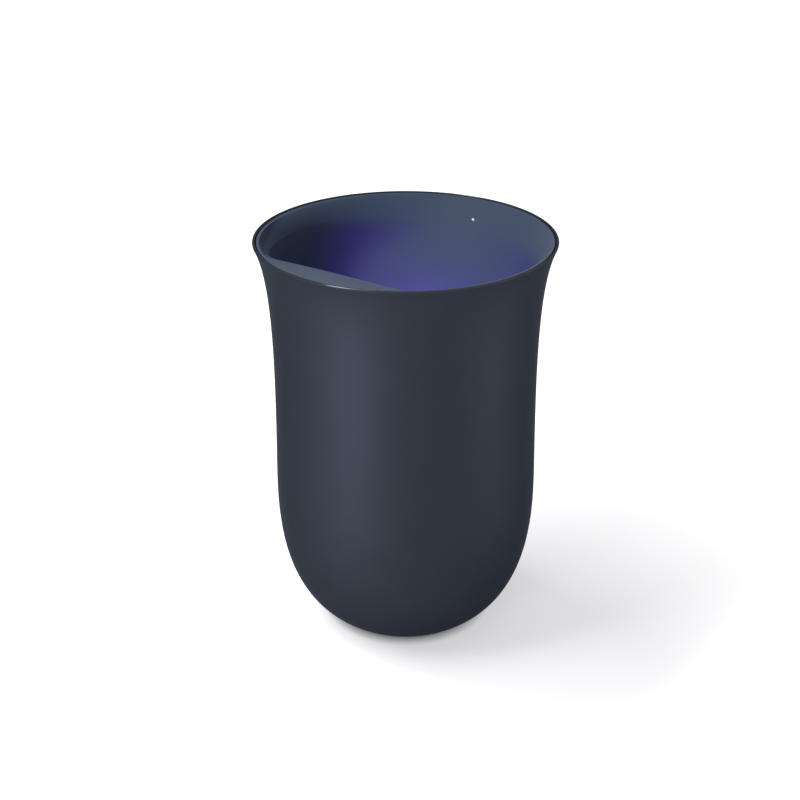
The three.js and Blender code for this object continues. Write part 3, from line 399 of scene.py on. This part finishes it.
def select_edges(piece, wanted):
    bpy.ops.mesh.select_mode(type="EDGE")
    shape = bmesh.from_edit_mesh(piece.data)
    for edge in shape.edges:
        edge.select = wanted(edge.verts[0].co, edge.verts[1].co)
    shape.select_flush_mode()
    bmesh.update_edit_mesh(piece.data)


def closed(piece, is_ring):
    bpy.ops.mesh.select_all(action="DESELECT")
    bpy.ops.mesh.select_non_manifold()
    if is_ring:
        bpy.ops.mesh.bridge_edge_loops()
    else:
        bpy.ops.mesh.fill_holes(sides=0)
    bpy.ops.mesh.select_all(action="SELECT")
    bpy.ops.mesh.normals_make_consistent(inside=False)
    bpy.ops.object.mode_set(mode="OBJECT")
    return piece


def first_ring(name, radius, z, sides):
    bpy.ops.object.select_all(action="DESELECT")
    bpy.ops.mesh.primitive_circle_add(vertices=sides, radius=radius, location=(0, 0, z))
    piece = named(name)
    bpy.ops.object.mode_set(mode="EDIT")
    bpy.ops.mesh.select_all(action="SELECT")
    return piece


def turned(name, profile, sides=turned_sides, is_ring=False):
    piece = first_ring(name, profile[0].x, profile[0].y, sides)
    for before, after in zip(profile, profile[1:]):
        share = after.x / before.x
        rise = (0, 0, after.y - before.y)
        bpy.ops.mesh.extrude_edges_move(TRANSFORM_OT_translate={"value": rise})
        bpy.ops.transform.resize(value=(share, share, 1), center_override=(0, 0, 0))
    return closed(piece, is_ring)


def lofted(name, sections):
    piece = first_ring(name, rim_radius, 0, len(sections[0]))
    shape = bmesh.from_edit_mesh(piece.data)
    side = shape.verts.layers.int.new("side")
    for index, vertex in enumerate(shape.verts):
        vertex[side] = index

    for number, section in enumerate(sections):
        if number:
            bpy.ops.mesh.extrude_edges_move(TRANSFORM_OT_translate={"value": (0, 0, overrun)})
        shape = bmesh.from_edit_mesh(piece.data)
        side = shape.verts.layers.int["side"]
        for vertex in shape.verts:
            if vertex.select:
                vertex.co = section[vertex[side]]
        bmesh.update_edit_mesh(piece.data)
    return closed(piece, is_ring=False)


def rounded_block(name, width, depth, corner, tall, edge_round=0):
    bpy.ops.object.select_all(action="DESELECT")
    bpy.ops.mesh.primitive_cube_add(size=1, location=(0, 0, tall / 2), scale=(width, depth, tall))
    piece = named(name)
    bpy.ops.object.mode_set(mode="EDIT")
    select_edges(piece, lambda a, b: abs(a.z - b.z) > tall / 2)
    bpy.ops.mesh.bevel(offset=corner, segments=corner_segments, affect="EDGES")
    if edge_round:
        select_edges(piece, lambda a, b: min(a.z, b.z) > tall - merge_distance)
        bpy.ops.mesh.bevel(offset=edge_round, segments=edge_segments, affect="EDGES")
    bpy.ops.object.mode_set(mode="OBJECT")
    return piece


def rod(name, radius, tall, sides=rod_sides):
    bpy.ops.object.select_all(action="DESELECT")
    bpy.ops.mesh.primitive_cylinder_add(
        vertices=sides, radius=radius, depth=tall, location=(0, 0, tall / 2)
    )
    return named(name)


def placed(piece, place, tilt=0):
    only(piece)
    piece.rotation_euler.x = tilt
    piece.location = place
    bpy.ops.object.transform_apply(location=True, rotation=True, scale=True)
    return piece


def merged(piece, tool, operation):
    modifier = piece.modifiers.new("merged", "BOOLEAN")
    modifier.operation = operation
    modifier.object = tool
    only(piece)
    bpy.ops.object.modifier_apply(modifier=modifier.name)
    bpy.data.objects.remove(tool)


def cut(piece, *tools):
    for tool in tools:
        merged(piece, tool, "DIFFERENCE")


def joined(piece, *others):
    only(piece)
    for other in others:
        other.select_set(True)
    bpy.ops.object.join()
    return piece


def smooth(piece, angle=smooth_angle):
    only(piece)
    bpy.ops.object.shade_smooth_by_angle(angle=angle)
    return piece


# Finishes: a mottled colour, a varied gloss and a fine relief on Object coordinates
def noise(nodes, links, size, detail):
    place = nodes.new("ShaderNodeTexCoord")
    texture = nodes.new("ShaderNodeTexNoise")
    texture.inputs["Scale"].default_value = 1 / size
    texture.inputs["Detail"].default_value = detail
    links.new(place.outputs["Object"], texture.inputs["Vector"])
    return texture.outputs["Fac"]


def finish(name, colour, roughness, metallic=0, mottle_size=moulding_mottle_size,
           mottle_share=plain_mottle_share, gloss_share=plain_gloss_share, relief=grain_relief,
           specular=plain_specular, edge_tint=1):
    material = bpy.data.materials.new(name)
    material.use_nodes = True
    nodes = material.node_tree.nodes
    links = material.node_tree.links
    shader = nodes["Principled BSDF"]
    shader.inputs["Metallic"].default_value = metallic
    shader.inputs["Specular IOR Level"].default_value = specular
    shader.inputs["Specular Tint"].default_value = (edge_tint, edge_tint, edge_tint, 1)

    tones = nodes.new("ShaderNodeValToRGB")
    for element, share, place in zip(tones.color_ramp.elements, (-1, 1), mottle_stops):
        element.position = place
        element.color = [part * (1 + share * mottle_share) for part in colour] + [1]
    mottle = noise(nodes, links, mottle_size, mottle_detail)
    links.new(mottle, tones.inputs["Fac"])
    links.new(tones.outputs["Color"], shader.inputs["Base Color"])

    gloss = nodes.new("ShaderNodeMapRange")
    gloss.inputs["To Min"].default_value = roughness * (1 - gloss_share)
    gloss.inputs["To Max"].default_value = roughness * (1 + gloss_share)
    links.new(mottle, gloss.inputs["Value"])
    links.new(gloss.outputs["Result"], shader.inputs["Roughness"])

    bump = nodes.new("ShaderNodeBump")
    bump.inputs["Distance"].default_value = relief
    links.new(noise(nodes, links, grain_size, grain_detail), bump.inputs["Height"])
    links.new(bump.outputs["Normal"], shader.inputs["Normal"])
    return material


def dressed(piece, material, body="housing", stands_for=()):
    piece.data.materials.clear()
    piece.data.materials.append(material)
    if stands_for:
        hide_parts(*stands_for)
    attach(piece, body)
    return piece


calm = {"mottle_share": calm_mottle_share, "gloss_share": calm_gloss_share}
metal = {"metallic": 1, "mottle_size": metal_mottle_size}

shell_finish = finish("soft_matt_slate", (0.0262, 0.0308, 0.0425), 0.55,
                      metallic=shell_metal_share, specular=0, edge_tint=shell_edge_tint, **calm)
liner_finish = finish("satin_slate", (0.0535, 0.0765, 0.1245), 0.5,
                      specular=liner_specular, **calm)
lip_finish = finish("polished_dark_edge", (0.05, 0.052, 0.058), 0.13,
                    metallic=1, relief=0, edge_tint=lip_edge_tint, **calm)
dark_finish = finish("black_moulded", (0.02, 0.021, 0.025), 0.55)
rubber_finish = finish("silicone_rubber", (0.012, 0.012, 0.014), 0.8, relief=rubber_relief)
steel_finish = finish("plated_steel", (0.52, 0.53, 0.55), 0.28, **metal)
aluminium_finish = finish("plain_aluminium", (0.6, 0.61, 0.63), 0.38, **metal)
board_finish = finish("green_mask", (0.012, 0.1, 0.045), 0.35,
                      mottle_size=board_mottle_size, mottle_share=board_mottle_share)
white_board_finish = finish("white_mask", (0.72, 0.73, 0.75), 0.4, mottle_size=board_mottle_size)
copper_finish = finish("lacquered_copper", (0.62, 0.24, 0.1), 0.3,
                       metallic=1, mottle_size=wire_mottle_size)
ferrite_finish = finish("dull_ferrite", (0.025, 0.025, 0.028), 0.65,
                        mottle_size=ferrite_mottle_size, mottle_share=ferrite_mottle_share)
lead_finish = finish("lead_jacket", (0.02, 0.022, 0.026), 0.55)
glass_finish = finish("quartz_glass", (0.92, 0.94, 1), 0.04, mottle_share=0, relief=0)
glass_shader = glass_finish.node_tree.nodes["Principled BSDF"]
glass_shader.inputs["Transmission Weight"].default_value = glass_transmission
glass_shader.inputs["IOR"].default_value = glass_index


def lit(material, colour, strength):
    shader = material.node_tree.nodes["Principled BSDF"]
    shader.inputs["Emission Color"].default_value = (*colour, 1)
    shader.inputs["Emission Strength"].default_value = strength
    return material


lamp_finish = lit(finish("violet_lamp", (0.35, 0.25, 0.9), 0.2), violet, lamp_strength)
status_finish = lit(finish("clear_light_pipe", (0.5, 0.52, 0.56), 0.15), white, status_strength)


# Outer shell, turned in one loop from the foot's edge over the lip and down the inside
plate_bottom = pad_thickness + gap
plate_top = plate_bottom + plate_thickness
floor_bottom = plate_top + gap
floor_top = floor_bottom + floor_thickness
plate_seat_radius = foot_radius - foot_rim
plate_radius = plate_seat_radius - gap
ballast_bottom = floor_top + gap
step_height = height - lip_depth


def make_outer_shell():
    outer = [(each, 0) for each in outline_points(0, outline_count)[1:-1]]
    inner = [
        (each, 0)
        for each in reversed(outline_points(shell_wall, wall_count))
        if floor_top + shell_wall < each.y < step_height - shell_wall
    ]
    lip_flare = lip_round * math.tan(rim_flare_angle)
    corners = [
        (point(foot_radius, foot_proud), foot_edge_round),
        *outer,
        (point(rim_radius + lip_flare, height), lip_round),
        (point(radius_at(lip_top, lip_wall) + lip_flare, height), lip_inner_round),
        (point(radius_at(step_height, lip_wall), step_height), 0),
        (point(radius_at(step_height, shell_wall), step_height), 0),
        *inner,
        (point(radius_at(floor_top, shell_wall), floor_top), 0),
        (point(floor_opening_radius, floor_top), 0),
        (point(floor_opening_radius, floor_bottom), 0),
        (point(plate_seat_radius, floor_bottom), 0),
        (point(plate_seat_radius, foot_proud), foot_edge_round),
    ]
    shell = turned("outer_shell_moulding", rounded(corners), shell_sides, is_ring=True)

    # Plug recess, socket slot and button hole, with the boss and the guide behind them,
    # all along +Y
    recess_floor = radius_at(port_height, 0) - port_recess_depth
    behind = recess_floor - shell_wall - overrun
    recess = rounded_block(
        "recess_tool", port_recess_width, port_recess_height, port_recess_corner, rim_radius
    )
    slot = rounded_block(
        "socket_tool",
        socket_width + 2 * gap,
        socket_height + 2 * gap,
        socket_height / 2 + gap - merge_distance,
        rim_radius,
    )
    hole = rod("button_tool", button_radius + gap, rim_radius, button_sides)
    boss = rounded_block(
        "port_boss",
        port_recess_width + 2 * port_boss_margin,
        port_recess_height + 2 * port_boss_margin,
        port_recess_corner,
        rim_radius,
    )
    placed(boss, (0, recess_floor - port_boss_depth, port_height), rearward)
    guide = rod("button_guide", button_radius + button_guide_width, rim_radius, button_sides)
    guide_floor = radius_at(button_height, 0) - shell_wall - button_guide_depth
    placed(guide, (0, guide_floor, button_height), rearward)
    middle = [
        each
        for each in outline_points(shell_wall / 2, wall_count)
        if floor_top < each.y < step_height
    ]
    for inner_piece in (boss, guide):
        core = turned("core_tool", middle, shell_sides)
        merged(inner_piece, core, "INTERSECT")
        merged(shell, inner_piece, "UNION")
    placed(recess, (0, recess_floor, port_height), rearward)
    placed(slot, (0, behind, port_height), rearward)
    placed(hole, (0, behind, button_height), rearward)
    cut(shell, recess, slot, hole)
    dressed(smooth(shell), shell_finish, stands_for=["outer_shell"])
    shell.data.materials.append(lip_finish)
    for face in shell.data.polygons:
        face.material_index = int(face.center.z > height - lip_round * dark_lip_share)


# Liner: sections from the slot's floor to the rim
liner_top = height - liner_rim_drop
flange_bottom = height - lip_depth + gap
liner_flange_radius = radius_at(liner_top, lip_wall + gap)
liner_rim_radius = liner_flange_radius - liner_rim_width
crease_height = height - crease_drop
crease_distance = liner_rim_radius - ledge_width
shoulder_half_width = liner_rim_radius - shoulder_inset
pocket_front = -pocket_floor_middle - pocket_floor_depth / 2
pocket_back = -pocket_floor_middle + pocket_floor_depth / 2


def face_y(z):
    return pocket_back + (z - pocket_floor_height) * math.tan(face_lean_angle)


def front_wall_y(z):
    share = (z - pocket_floor_height) / (crease_height - pocket_floor_height)
    return pocket_front + (-crease_distance - pocket_front) * share


def held_share(value, low, high):
    return min(max((value - low) / (high - low), 0), 1)


liner_rim = point(liner_rim_radius, liner_top)
face_end = point(face_y(face_top), face_top)
shoulder = point(shoulder_half_width, crease_height)
side_start = point(pocket_half_width, side_straight_height)
back_curve = (
    face_end,
    leaning(face_end, face_top_handle, face_lean_angle),
    liner_rim - point(math.cos(back_rim_angle), math.sin(back_rim_angle)) * back_rim_handle,
    liner_rim,
)
side_curves = (
    (
        side_start,
        side_start + point(0, side_handle_down),
        leaning(shoulder, -side_handle_up, side_shoulder_angle),
        shoulder,
    ),
    (
        shoulder,
        leaning(shoulder, side_rim_handle_down, side_shoulder_angle),
        leaning(liner_rim, -side_rim_handle_up, side_rim_angle),
        liner_rim,
    ),
)
back_line = [bezier(back_curve, step / table_count) for step in range(table_count + 1)]
side_line = [
    bezier(curve, step / table_count)
    for curve in side_curves
    for step in range(1, table_count + 1)
]


def liner_section(z, growth, place_z, limit):
    rise = z - crease_height
    full_rise = liner_top - crease_height
    eased = held_share(z, face_top, crease_height)
    funnel_share = eased * eased * (3 - 2 * eased)
    middle = -pocket_floor_middle * (1 - held_share(z, pocket_floor_height, crease_height))
    back_y = face_y(z) if z < face_top else read_at(back_line, z)
    is_straight = z < side_straight_height
    half_width = growth + (pocket_half_width if is_straight else read_at(side_line, z))
    back_power = pocket_power + (round_power - pocket_power) * funnel_share
    section = []
    for step in range(liner_sides):
        angle = step / liner_sides * 2 * math.pi
        across = math.cos(angle)
        along = math.sin(angle)
        if angle < math.pi:
            power = back_power
            reach = back_y - middle + growth
        else:
            round_here = crease_round + crease_end_round * abs(across) ** crease_end_power
            ledge_share = rise + math.hypot(rise, round_here)
            ledge_share /= full_rise + math.hypot(full_rise, round_here)
            power = pocket_power + (round_power - pocket_power) * ledge_share
            ledge_reach = (liner_rim_radius - crease_distance) * ledge_share
            reach = middle - front_wall_y(min(z, crease_height)) + ledge_reach + growth
        size = (abs(across) ** power + abs(along) ** power) ** (-1 / power)
        x = half_width * across * size
        y = middle + reach * along * size
        held = (1 + (math.hypot(x, y) / limit) ** limit_power) ** (-1 / limit_power)
        section.append(Vector((x * held, y * held, place_z)))
    return section


def round_section(place):
    angles = [step / liner_sides * 2 * math.pi for step in range(liner_sides)]
    return [
        Vector((place.x * math.cos(angle), place.x * math.sin(angle), place.y))
        for angle in angles
    ]


def inner_section(z, growth=0, drop=0):
    relief = rim_relief * held_share(z, crease_height, liner_top)
    limit = radius_at(z, shell_wall + gap + liner_wall * thin_wall_share) + relief
    return liner_section(z, growth, z - drop, limit)


def outer_section(z):
    place_z = z - liner_wall
    return liner_section(z, liner_wall, place_z, radius_at(place_z, shell_wall + gap))


front_rise = crease_height - pocket_floor_height
front_lean_angle = math.atan((crease_distance + pocket_front) / front_rise)
front_skin = liner_wall * math.tan(front_lean_angle) + liner_wall
lamp_place = Vector((0, front_wall_y(lamp_height) - front_skin, lamp_height))
lamp_tilt = quarter_turn + front_lean_angle
status_height = next(each for each in back_line if each.x > status_distance).y
status_below = read_at(back_line, status_height - status_pipe_radius)
status_above = read_at(back_line, status_height + status_pipe_radius)
status_tilt = math.atan2(2 * status_pipe_radius, status_above - status_below)
status_place = Vector((0, status_distance, status_height))


def along_lamp(distance):
    turn = Matrix.Rotation(lamp_tilt, 3, "X")
    return lamp_place + turn @ Vector((0, 0, distance))


def make_inner_liner():
    crease_steps = [
        crease_ring_reach * (step / crease_ring_count) ** 2
        for step in range(1, crease_ring_count + 1)
    ]
    roll_bottom = liner_top - liner_roll_depth
    heights = [
        *spread(pocket_floor_height + pocket_floor_round, face_top, slot_ring_count),
        *spread(face_top, crease_height - crease_ring_reach, funnel_ring_count)[:-1],
        *[crease_height - step for step in reversed(crease_steps)],
        crease_height,
        *[crease_height + step for step in crease_steps],
        *spread(crease_height + crease_ring_reach, roll_bottom, ledge_ring_count)[:-1],
    ]

    # The rim rolls over softly, from its flat top into the funnel
    roll_slope = math.tan(back_rim_angle)
    roll_width = liner_rim_width - liner_roll_start
    roll_rings = []
    for number in range(1, roll_ring_count + 1):
        share = number / roll_ring_count
        depth = liner_roll_depth * share**2
        inset = depth / roll_slope - roll_width * (1 - share) ** 2
        if inset < 0:
            roll_rings.append(round_section(point(liner_rim_radius - inset, liner_top - depth)))
        else:
            fall = inset * roll_slope
            roll_rings.append(inner_section(liner_top - fall, drop=depth - fall))
    floor_angles = [0, *spread(0, quarter_turn, floor_round_count)]
    floor_rings = [
        inner_section(
            pocket_floor_height + pocket_floor_round * (1 - math.sin(angle)),
            -pocket_floor_round * (1 - math.cos(angle)),
        )
        for angle in floor_angles
    ]
    outer_heights = [
        pocket_floor_height,
        *spread(pocket_floor_height, liner_top - liner_wall, outer_ring_count),
    ]
    flange = rounded([
        (point(radius_at(flange_bottom, shell_wall + gap), flange_bottom), 0),
        (point(radius_at(flange_bottom, lip_wall + gap), flange_bottom), 0),
        (point(liner_flange_radius, liner_top), liner_rim_round),
        (point(liner_rim_radius + roll_width, liner_top), 0),
    ])
    sections = [
        *[outer_section(z) for z in outer_heights],
        *[round_section(place) for place in flange],
        *roll_rings,
        *[inner_section(z) for z in reversed(heights)],
        *floor_rings,
    ]
    liner = lofted("inner_liner_moulding", sections)

    # Lamp window and its frame, and the hole of the status light
    through = 2 * liner_wall + overrun
    window = rounded_block(
        "window_tool",
        lamp_window_width,
        lamp_window_height,
        lamp_window_corner,
        through + lamp_frame_depth,
    )
    window_copy = window.copy()
    window_copy.data = window.data.copy()
    bpy.context.collection.objects.link(window_copy)
    for tool in (window, window_copy):
        placed(tool, along_lamp(-through), lamp_tilt)
    frame_block = rounded_block(
        "lamp_frame",
        lamp_frame_width,
        lamp_frame_height,
        lamp_frame_corner,
        lamp_frame_depth + liner_wall / 2,
    )
    placed(frame_block, along_lamp(-liner_wall / 2), lamp_tilt)
    rebate = rounded_block(
        "rebate_tool",
        lamp_window_width + 2 * lamp_rebate,
        lamp_window_height + 2 * lamp_rebate,
        lamp_window_corner + lamp_rebate,
        lamp_frame_depth,
    )
    placed(rebate, along_lamp(glass_seat_depth), lamp_tilt)
    status_tool = rod("status_tool", status_pipe_radius + gap, 2 * through)
    turn = Matrix.Rotation(status_tilt, 3, "X")
    placed(status_tool, status_place + turn @ Vector((0, 0, -through)), status_tilt)
    cut(liner, window, status_tool)
    cut(frame_block, window_copy, rebate)

    # Legs under the slot, and the ribs that tie the rear pair to the leaning face
    legs = []
    for x in (-leg_offset, leg_offset):
        for y, top in ((-leg_offset, pocket_floor_height), (leg_offset, rear_leg_top)):
            leg = rod("leg", leg_radius, top - liner_wall / 2 - ballast_bottom)
            legs.append(placed(leg, (x, y, ballast_bottom)))
        rib_height = rear_leg_top - pocket_floor_height
        rib = rounded_block("rib", rib_thickness, leg_offset, rib_corner, rib_height)
        placed(rib, (x, leg_offset / 2, pocket_floor_height))
        for vertex in rib.data.vertices:
            is_rear = vertex.co.y > leg_offset / 2
            vertex.co.y = leg_offset if is_rear else face_y(vertex.co.z) + liner_wall / 2
        legs.append(rib)
    joined(liner, frame_block, *legs)
    smooth(liner, liner_smooth_angle)
    dressed(liner, liner_finish, stands_for=["inner_liner"])


# Foot: pad and base plate
def make_foot():
    pad_radius = plate_radius - pad_inset
    pad = turned("foot_pad_moulding", rounded([
        (point(plate_radius - 2 * pad_inset, 0), 0),
        (point(pad_radius, 0), pad_edge_round),
        (point(pad_radius, pad_thickness), 0),
    ]))
    dressed(smooth(pad), rubber_finish, stands_for=["foot_pad"])

    plate = turned("base_plate_moulding", rounded([
        (point(pad_radius, plate_bottom), 0),
        (point(plate_radius, plate_bottom), plate_edge_round),
        (point(plate_radius, plate_top), 0),
    ]))
    tools = []
    for x in (-leg_offset, leg_offset):
        for y in (-leg_offset, leg_offset):
            bore = rod("bore_tool", base_hole_radius, plate_thickness + 2 * overrun)
            head = rod("head_tool", head_hole_radius, counterbore_depth + overrun)
            tools.append(placed(bore, (x, y, plate_bottom - overrun)))
            tools.append(placed(head, (x, y, plate_bottom - overrun)))
    cut(plate, *tools)
    dressed(smooth(plate), dark_finish, stands_for=["base_plate"])


# Rest pad with cross grooves on the floor of the slot
def make_rest_pad():
    low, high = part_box("rest_pad")
    pad = rounded_block(
        "rest_pad_moulding",
        rest_pad_length,
        rest_pad_depth,
        rest_pad_corner,
        rest_pad_thickness,
        rest_pad_edge_round,
    )
    grooves = []
    for number in range(rest_pad_groove_count):
        groove = rounded_block(
            "groove_tool",
            rest_pad_groove_width,
            rest_pad_depth,
            rest_pad_groove_corner,
            rest_pad_thickness,
        )
        x = (number - (rest_pad_groove_count - 1) / 2) * rest_pad_groove_spacing
        grooves.append(placed(groove, (x, 0, rest_pad_thickness - rest_pad_groove_depth)))
    cut(pad, *grooves)
    placed(pad, ((low.x + high.x) / 2, (low.y + high.y) / 2, low.z))
    dressed(smooth(pad), rubber_finish, stands_for=["rest_pad"])


# Push button, turned on its own axis and laid along +Y
def make_button():
    low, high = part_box("power_button")
    cap_height = high.y - low.y
    flange_radius = button_radius + button_flange_width
    rows = rounded([
        (point(flange_radius, 0), 0),
        (point(flange_radius, button_flange_thickness), 0),
        (point(button_radius, button_flange_thickness), 0),
        (point(button_radius, cap_height), button_edge_round),
        *[
            (point(button_radius * share, cap_height - button_dish_depth * (1 - share**2)), 0)
            for share in button_dish_shares
        ],
    ])
    cap = turned("button_cap", rows, button_sides)
    placed(cap, (0, low.y, button_height), rearward)
    dressed(smooth(cap), shell_finish, "button", ["power_button"])


# Inlet: the socket's steel shell
def make_socket():
    low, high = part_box("usb_c_receptacle")
    corner = socket_height / 2 - merge_distance
    socket = rounded_block("socket_shell", socket_width, socket_height, corner, socket_length)
    hollow = rounded_block(
        "socket_hollow",
        socket_width - 2 * socket_wall,
        socket_height - 2 * socket_wall,
        corner - socket_wall,
        socket_length,
    )
    placed(socket, (0, low.y, port_height), rearward)
    placed(hollow, (0, low.y + socket_back_thickness, port_height), rearward)
    cut(socket, hollow)
    dressed(smooth(socket), steel_finish, stands_for=["usb_c_receptacle"])


# Status light: a clear pipe with a crowned end
def make_status_light():
    radius = status_pipe_radius
    crown = []
    for angle in map(math.radians, crown_angles):
        top = status_pipe_length - status_pipe_proud * (1 - math.sin(angle))
        crown.append(point(radius * math.cos(angle), top))
    pipe = turned("status_light_lens", [point(radius, 0), *crown], rod_sides)
    turn = Matrix.Rotation(status_tilt, 3, "X")
    below = Vector((0, 0, status_pipe_proud - status_pipe_length))
    placed(pipe, status_place + turn @ below, status_tilt)
    smooth(pipe, lens_smooth_angle)
    dressed(pipe, status_finish, stands_for=["status_light_pipe"])


# Lamps: a flat package with a low dome on each, lit violet
def make_lamps():
    for number, side in enumerate((-1, 1), 1):
        low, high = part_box(f"uv_led_{number}")
        middle = (low + high) / 2
        base = rounded_block(
            f"uv_lamp_{number}", lamp_size, lamp_size, lamp_corner, lamp_base_thickness
        )
        bpy.ops.object.select_all(action="DESELECT")
        bpy.ops.mesh.primitive_uv_sphere_add(
            segments=lamp_dome_sides, ring_count=lamp_dome_rings, radius=lamp_dome_radius
        )
        dome = named("lamp_dome")
        for vertex in dome.data.vertices:
            share = max(vertex.co.z, 0) / lamp_dome_radius
            vertex.co.z = lamp_base_thickness + lamp_dome_height * share
        lamp = joined(base, dome)
        inward = Matrix.Rotation(lamp_tilt, 3, "X") @ Vector((0, 0, -1))
        placed(lamp, middle - inward * lamp_base_thickness, lamp_tilt + math.pi)
        dressed(smooth(lamp), lamp_finish, stands_for=[f"uv_led_{number}"])


make_outer_shell()
make_inner_liner()
make_foot()
make_rest_pad()
make_button()
make_socket()
make_status_light()
make_lamps()

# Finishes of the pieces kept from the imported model
kept_finishes = {
    "rear_board": board_finish,
    "main_board": board_finish,
    "uv_led_board": white_board_finish,
    "status_led_board": white_board_finish,
    "charging_coil": copper_finish,
    "ferrite_plate": ferrite_finish,
    "coil_carrier": aluminium_finish,
    "uv_heat_sink": aluminium_finish,
    "ballast_plate": steel_finish,
    "usb_c_tongue": dark_finish,
    "button_switch": dark_finish,
    "switch_stem": dark_finish,
    "uv_window": glass_finish,
    "uv_lead": lead_finish,
    "power_lead": lead_finish,
    "status_lead": lead_finish,
}
for name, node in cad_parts.items():
    material = steel_finish if "screw" in name else kept_finishes.get(name)
    if material:
        node.data.materials.clear()
        node.data.materials.append(material)


# Stage: floor, lights and camera
def towards(turn, elevation):
    azimuth = camera_azimuth - turn
    flat = math.cos(elevation)
    return Vector((math.sin(azimuth) * flat, -math.cos(azimuth) * flat, math.sin(elevation)))


def softbox(name, turn, elevation, distance, width, tall, power, colour=white, roll=0):
    data = bpy.data.lights.new(name, "AREA")
    data.shape = "RECTANGLE"
    data.size = width
    data.size_y = tall
    data.energy = power
    data.color = colour
    lamp = bpy.data.objects.new(name, data)
    bpy.context.collection.objects.link(lamp)
    direction = towards(turn, elevation)
    lamp.location = camera_aim + direction * distance
    facing = direction.to_track_quat("Z", "Y") @ Quaternion((0, 0, 1), roll)
    lamp.rotation_euler = facing.to_euler()
    return lamp


def seen_directly(nodes, links):
    path = nodes.new("ShaderNodeLightPath")
    total = None
    for ray in ("Is Camera Ray", "Is Glossy Ray", "Is Transmission Ray"):
        if total is None:
            total = path.outputs[ray]
            continue
        either = nodes.new("ShaderNodeMath")
        either.operation = "MAXIMUM"
        links.new(total, either.inputs[0])
        links.new(path.outputs[ray], either.inputs[1])
        total = either.outputs["Value"]
    return total


def scaled(nodes, links, value, low, high, start=0, end=1):
    span = nodes.new("ShaderNodeMapRange")
    span.inputs["From Min"].default_value = start
    span.inputs["From Max"].default_value = end
    span.inputs["To Min"].default_value = low
    span.inputs["To Max"].default_value = high
    links.new(value, span.inputs["Value"])
    return span.outputs["Result"]


def distance_from(nodes, links, middle):
    place = nodes.new("ShaderNodeTexCoord")
    distance = nodes.new("ShaderNodeVectorMath")
    distance.operation = "DISTANCE"
    distance.inputs[1].default_value = middle
    links.new(place.outputs["Object"], distance.inputs[0])
    return distance.outputs["Value"]


def product(nodes, links, first, second):
    times = nodes.new("ShaderNodeMath")
    times.operation = "MULTIPLY"
    links.new(first, times.inputs[0])
    links.new(second, times.inputs[1])
    return times.outputs["Value"]


def make_stage():
    bpy.ops.object.select_all(action="DESELECT")
    bpy.ops.mesh.primitive_plane_add(size=floor_size)
    floor = named("floor")
    material = bpy.data.materials.new("pale_floor")
    material.use_nodes = True
    nodes = material.node_tree.nodes
    links = material.node_tree.links
    shader = nodes["Principled BSDF"]
    shader.inputs["Base Color"].default_value = (*floor_colour, 1)
    shader.inputs["Roughness"].default_value = 1
    shader.inputs["Specular IOR Level"].default_value = 0
    shader.inputs["Emission Color"].default_value = (*floor_lift_shadow_tint, 1)

    # It shines least in the key's shadow, painting that shadow deeper, and at the foot's edge, a
    # painted contact shade; beside the foot it shines more, painting out the shade there, and
    # most towards the horizon
    from_shadow = distance_from(nodes, links, -towards(key_turn, 0) * shadow_reach)
    lift = scaled(nodes, links, from_shadow, shadow_lift, open_lift, shadow_end, open_start)
    from_foot = distance_from(nodes, links, Vector())
    for factor in (
        scaled(nodes, links, from_foot, contact_painted_shade_share, 1, contact_painted_shade_start, contact_painted_shade_end),
        scaled(nodes, links, from_foot, 1, horizon_lift_share, near_floor, far_floor),
        seen_directly(nodes, links),
    ):
        lift = product(nodes, links, lift, factor)
    links.new(lift, shader.inputs["Emission Strength"])
    floor.data.materials.append(material)

    world = bpy.data.worlds.new("studio")
    bpy.context.scene.world = world
    world.use_nodes = True
    nodes = world.node_tree.nodes
    links = world.node_tree.links
    sky = nodes["Background"]
    sky.inputs["Color"].default_value = (*white, 1)
    strength = scaled(nodes, links, seen_directly(nodes, links), ambient_strength, 1)
    links.new(strength, sky.inputs["Strength"])


make_stage()
softbox("key", key_turn, key_elevation, key_distance, key_width, key_height, key_power,
        roll=key_roll)
softbox("front", front_turn, front_elevation, front_distance, front_width, front_height,
        front_power)
softbox("side", side_turn, side_elevation, side_distance, side_width, side_height, side_power)
glow = softbox("glow", 0, 0, 0, lamp_window_width, lamp_window_height, glow_power, violet)
glow.location = along_lamp(-liner_wall - overrun)
glow.rotation_euler = (lamp_tilt, 0, 0)
glow.data.spread = glow_spread

camera_data = bpy.data.cameras.new("camera")
camera_data.lens = camera_lens
camera_data.sensor_width = camera_sensor
camera_data.shift_x = camera_shift
camera = bpy.data.objects.new("camera", camera_data)
bpy.context.collection.objects.link(camera)
back = towards(0, camera_elevation)
camera.location = camera_aim + back * camera_distance
camera.rotation_euler = back.to_track_quat("Z", "Y").to_euler()
bpy.context.scene.camera = camera
bpy.context.scene.view_settings.view_transform = "Standard"
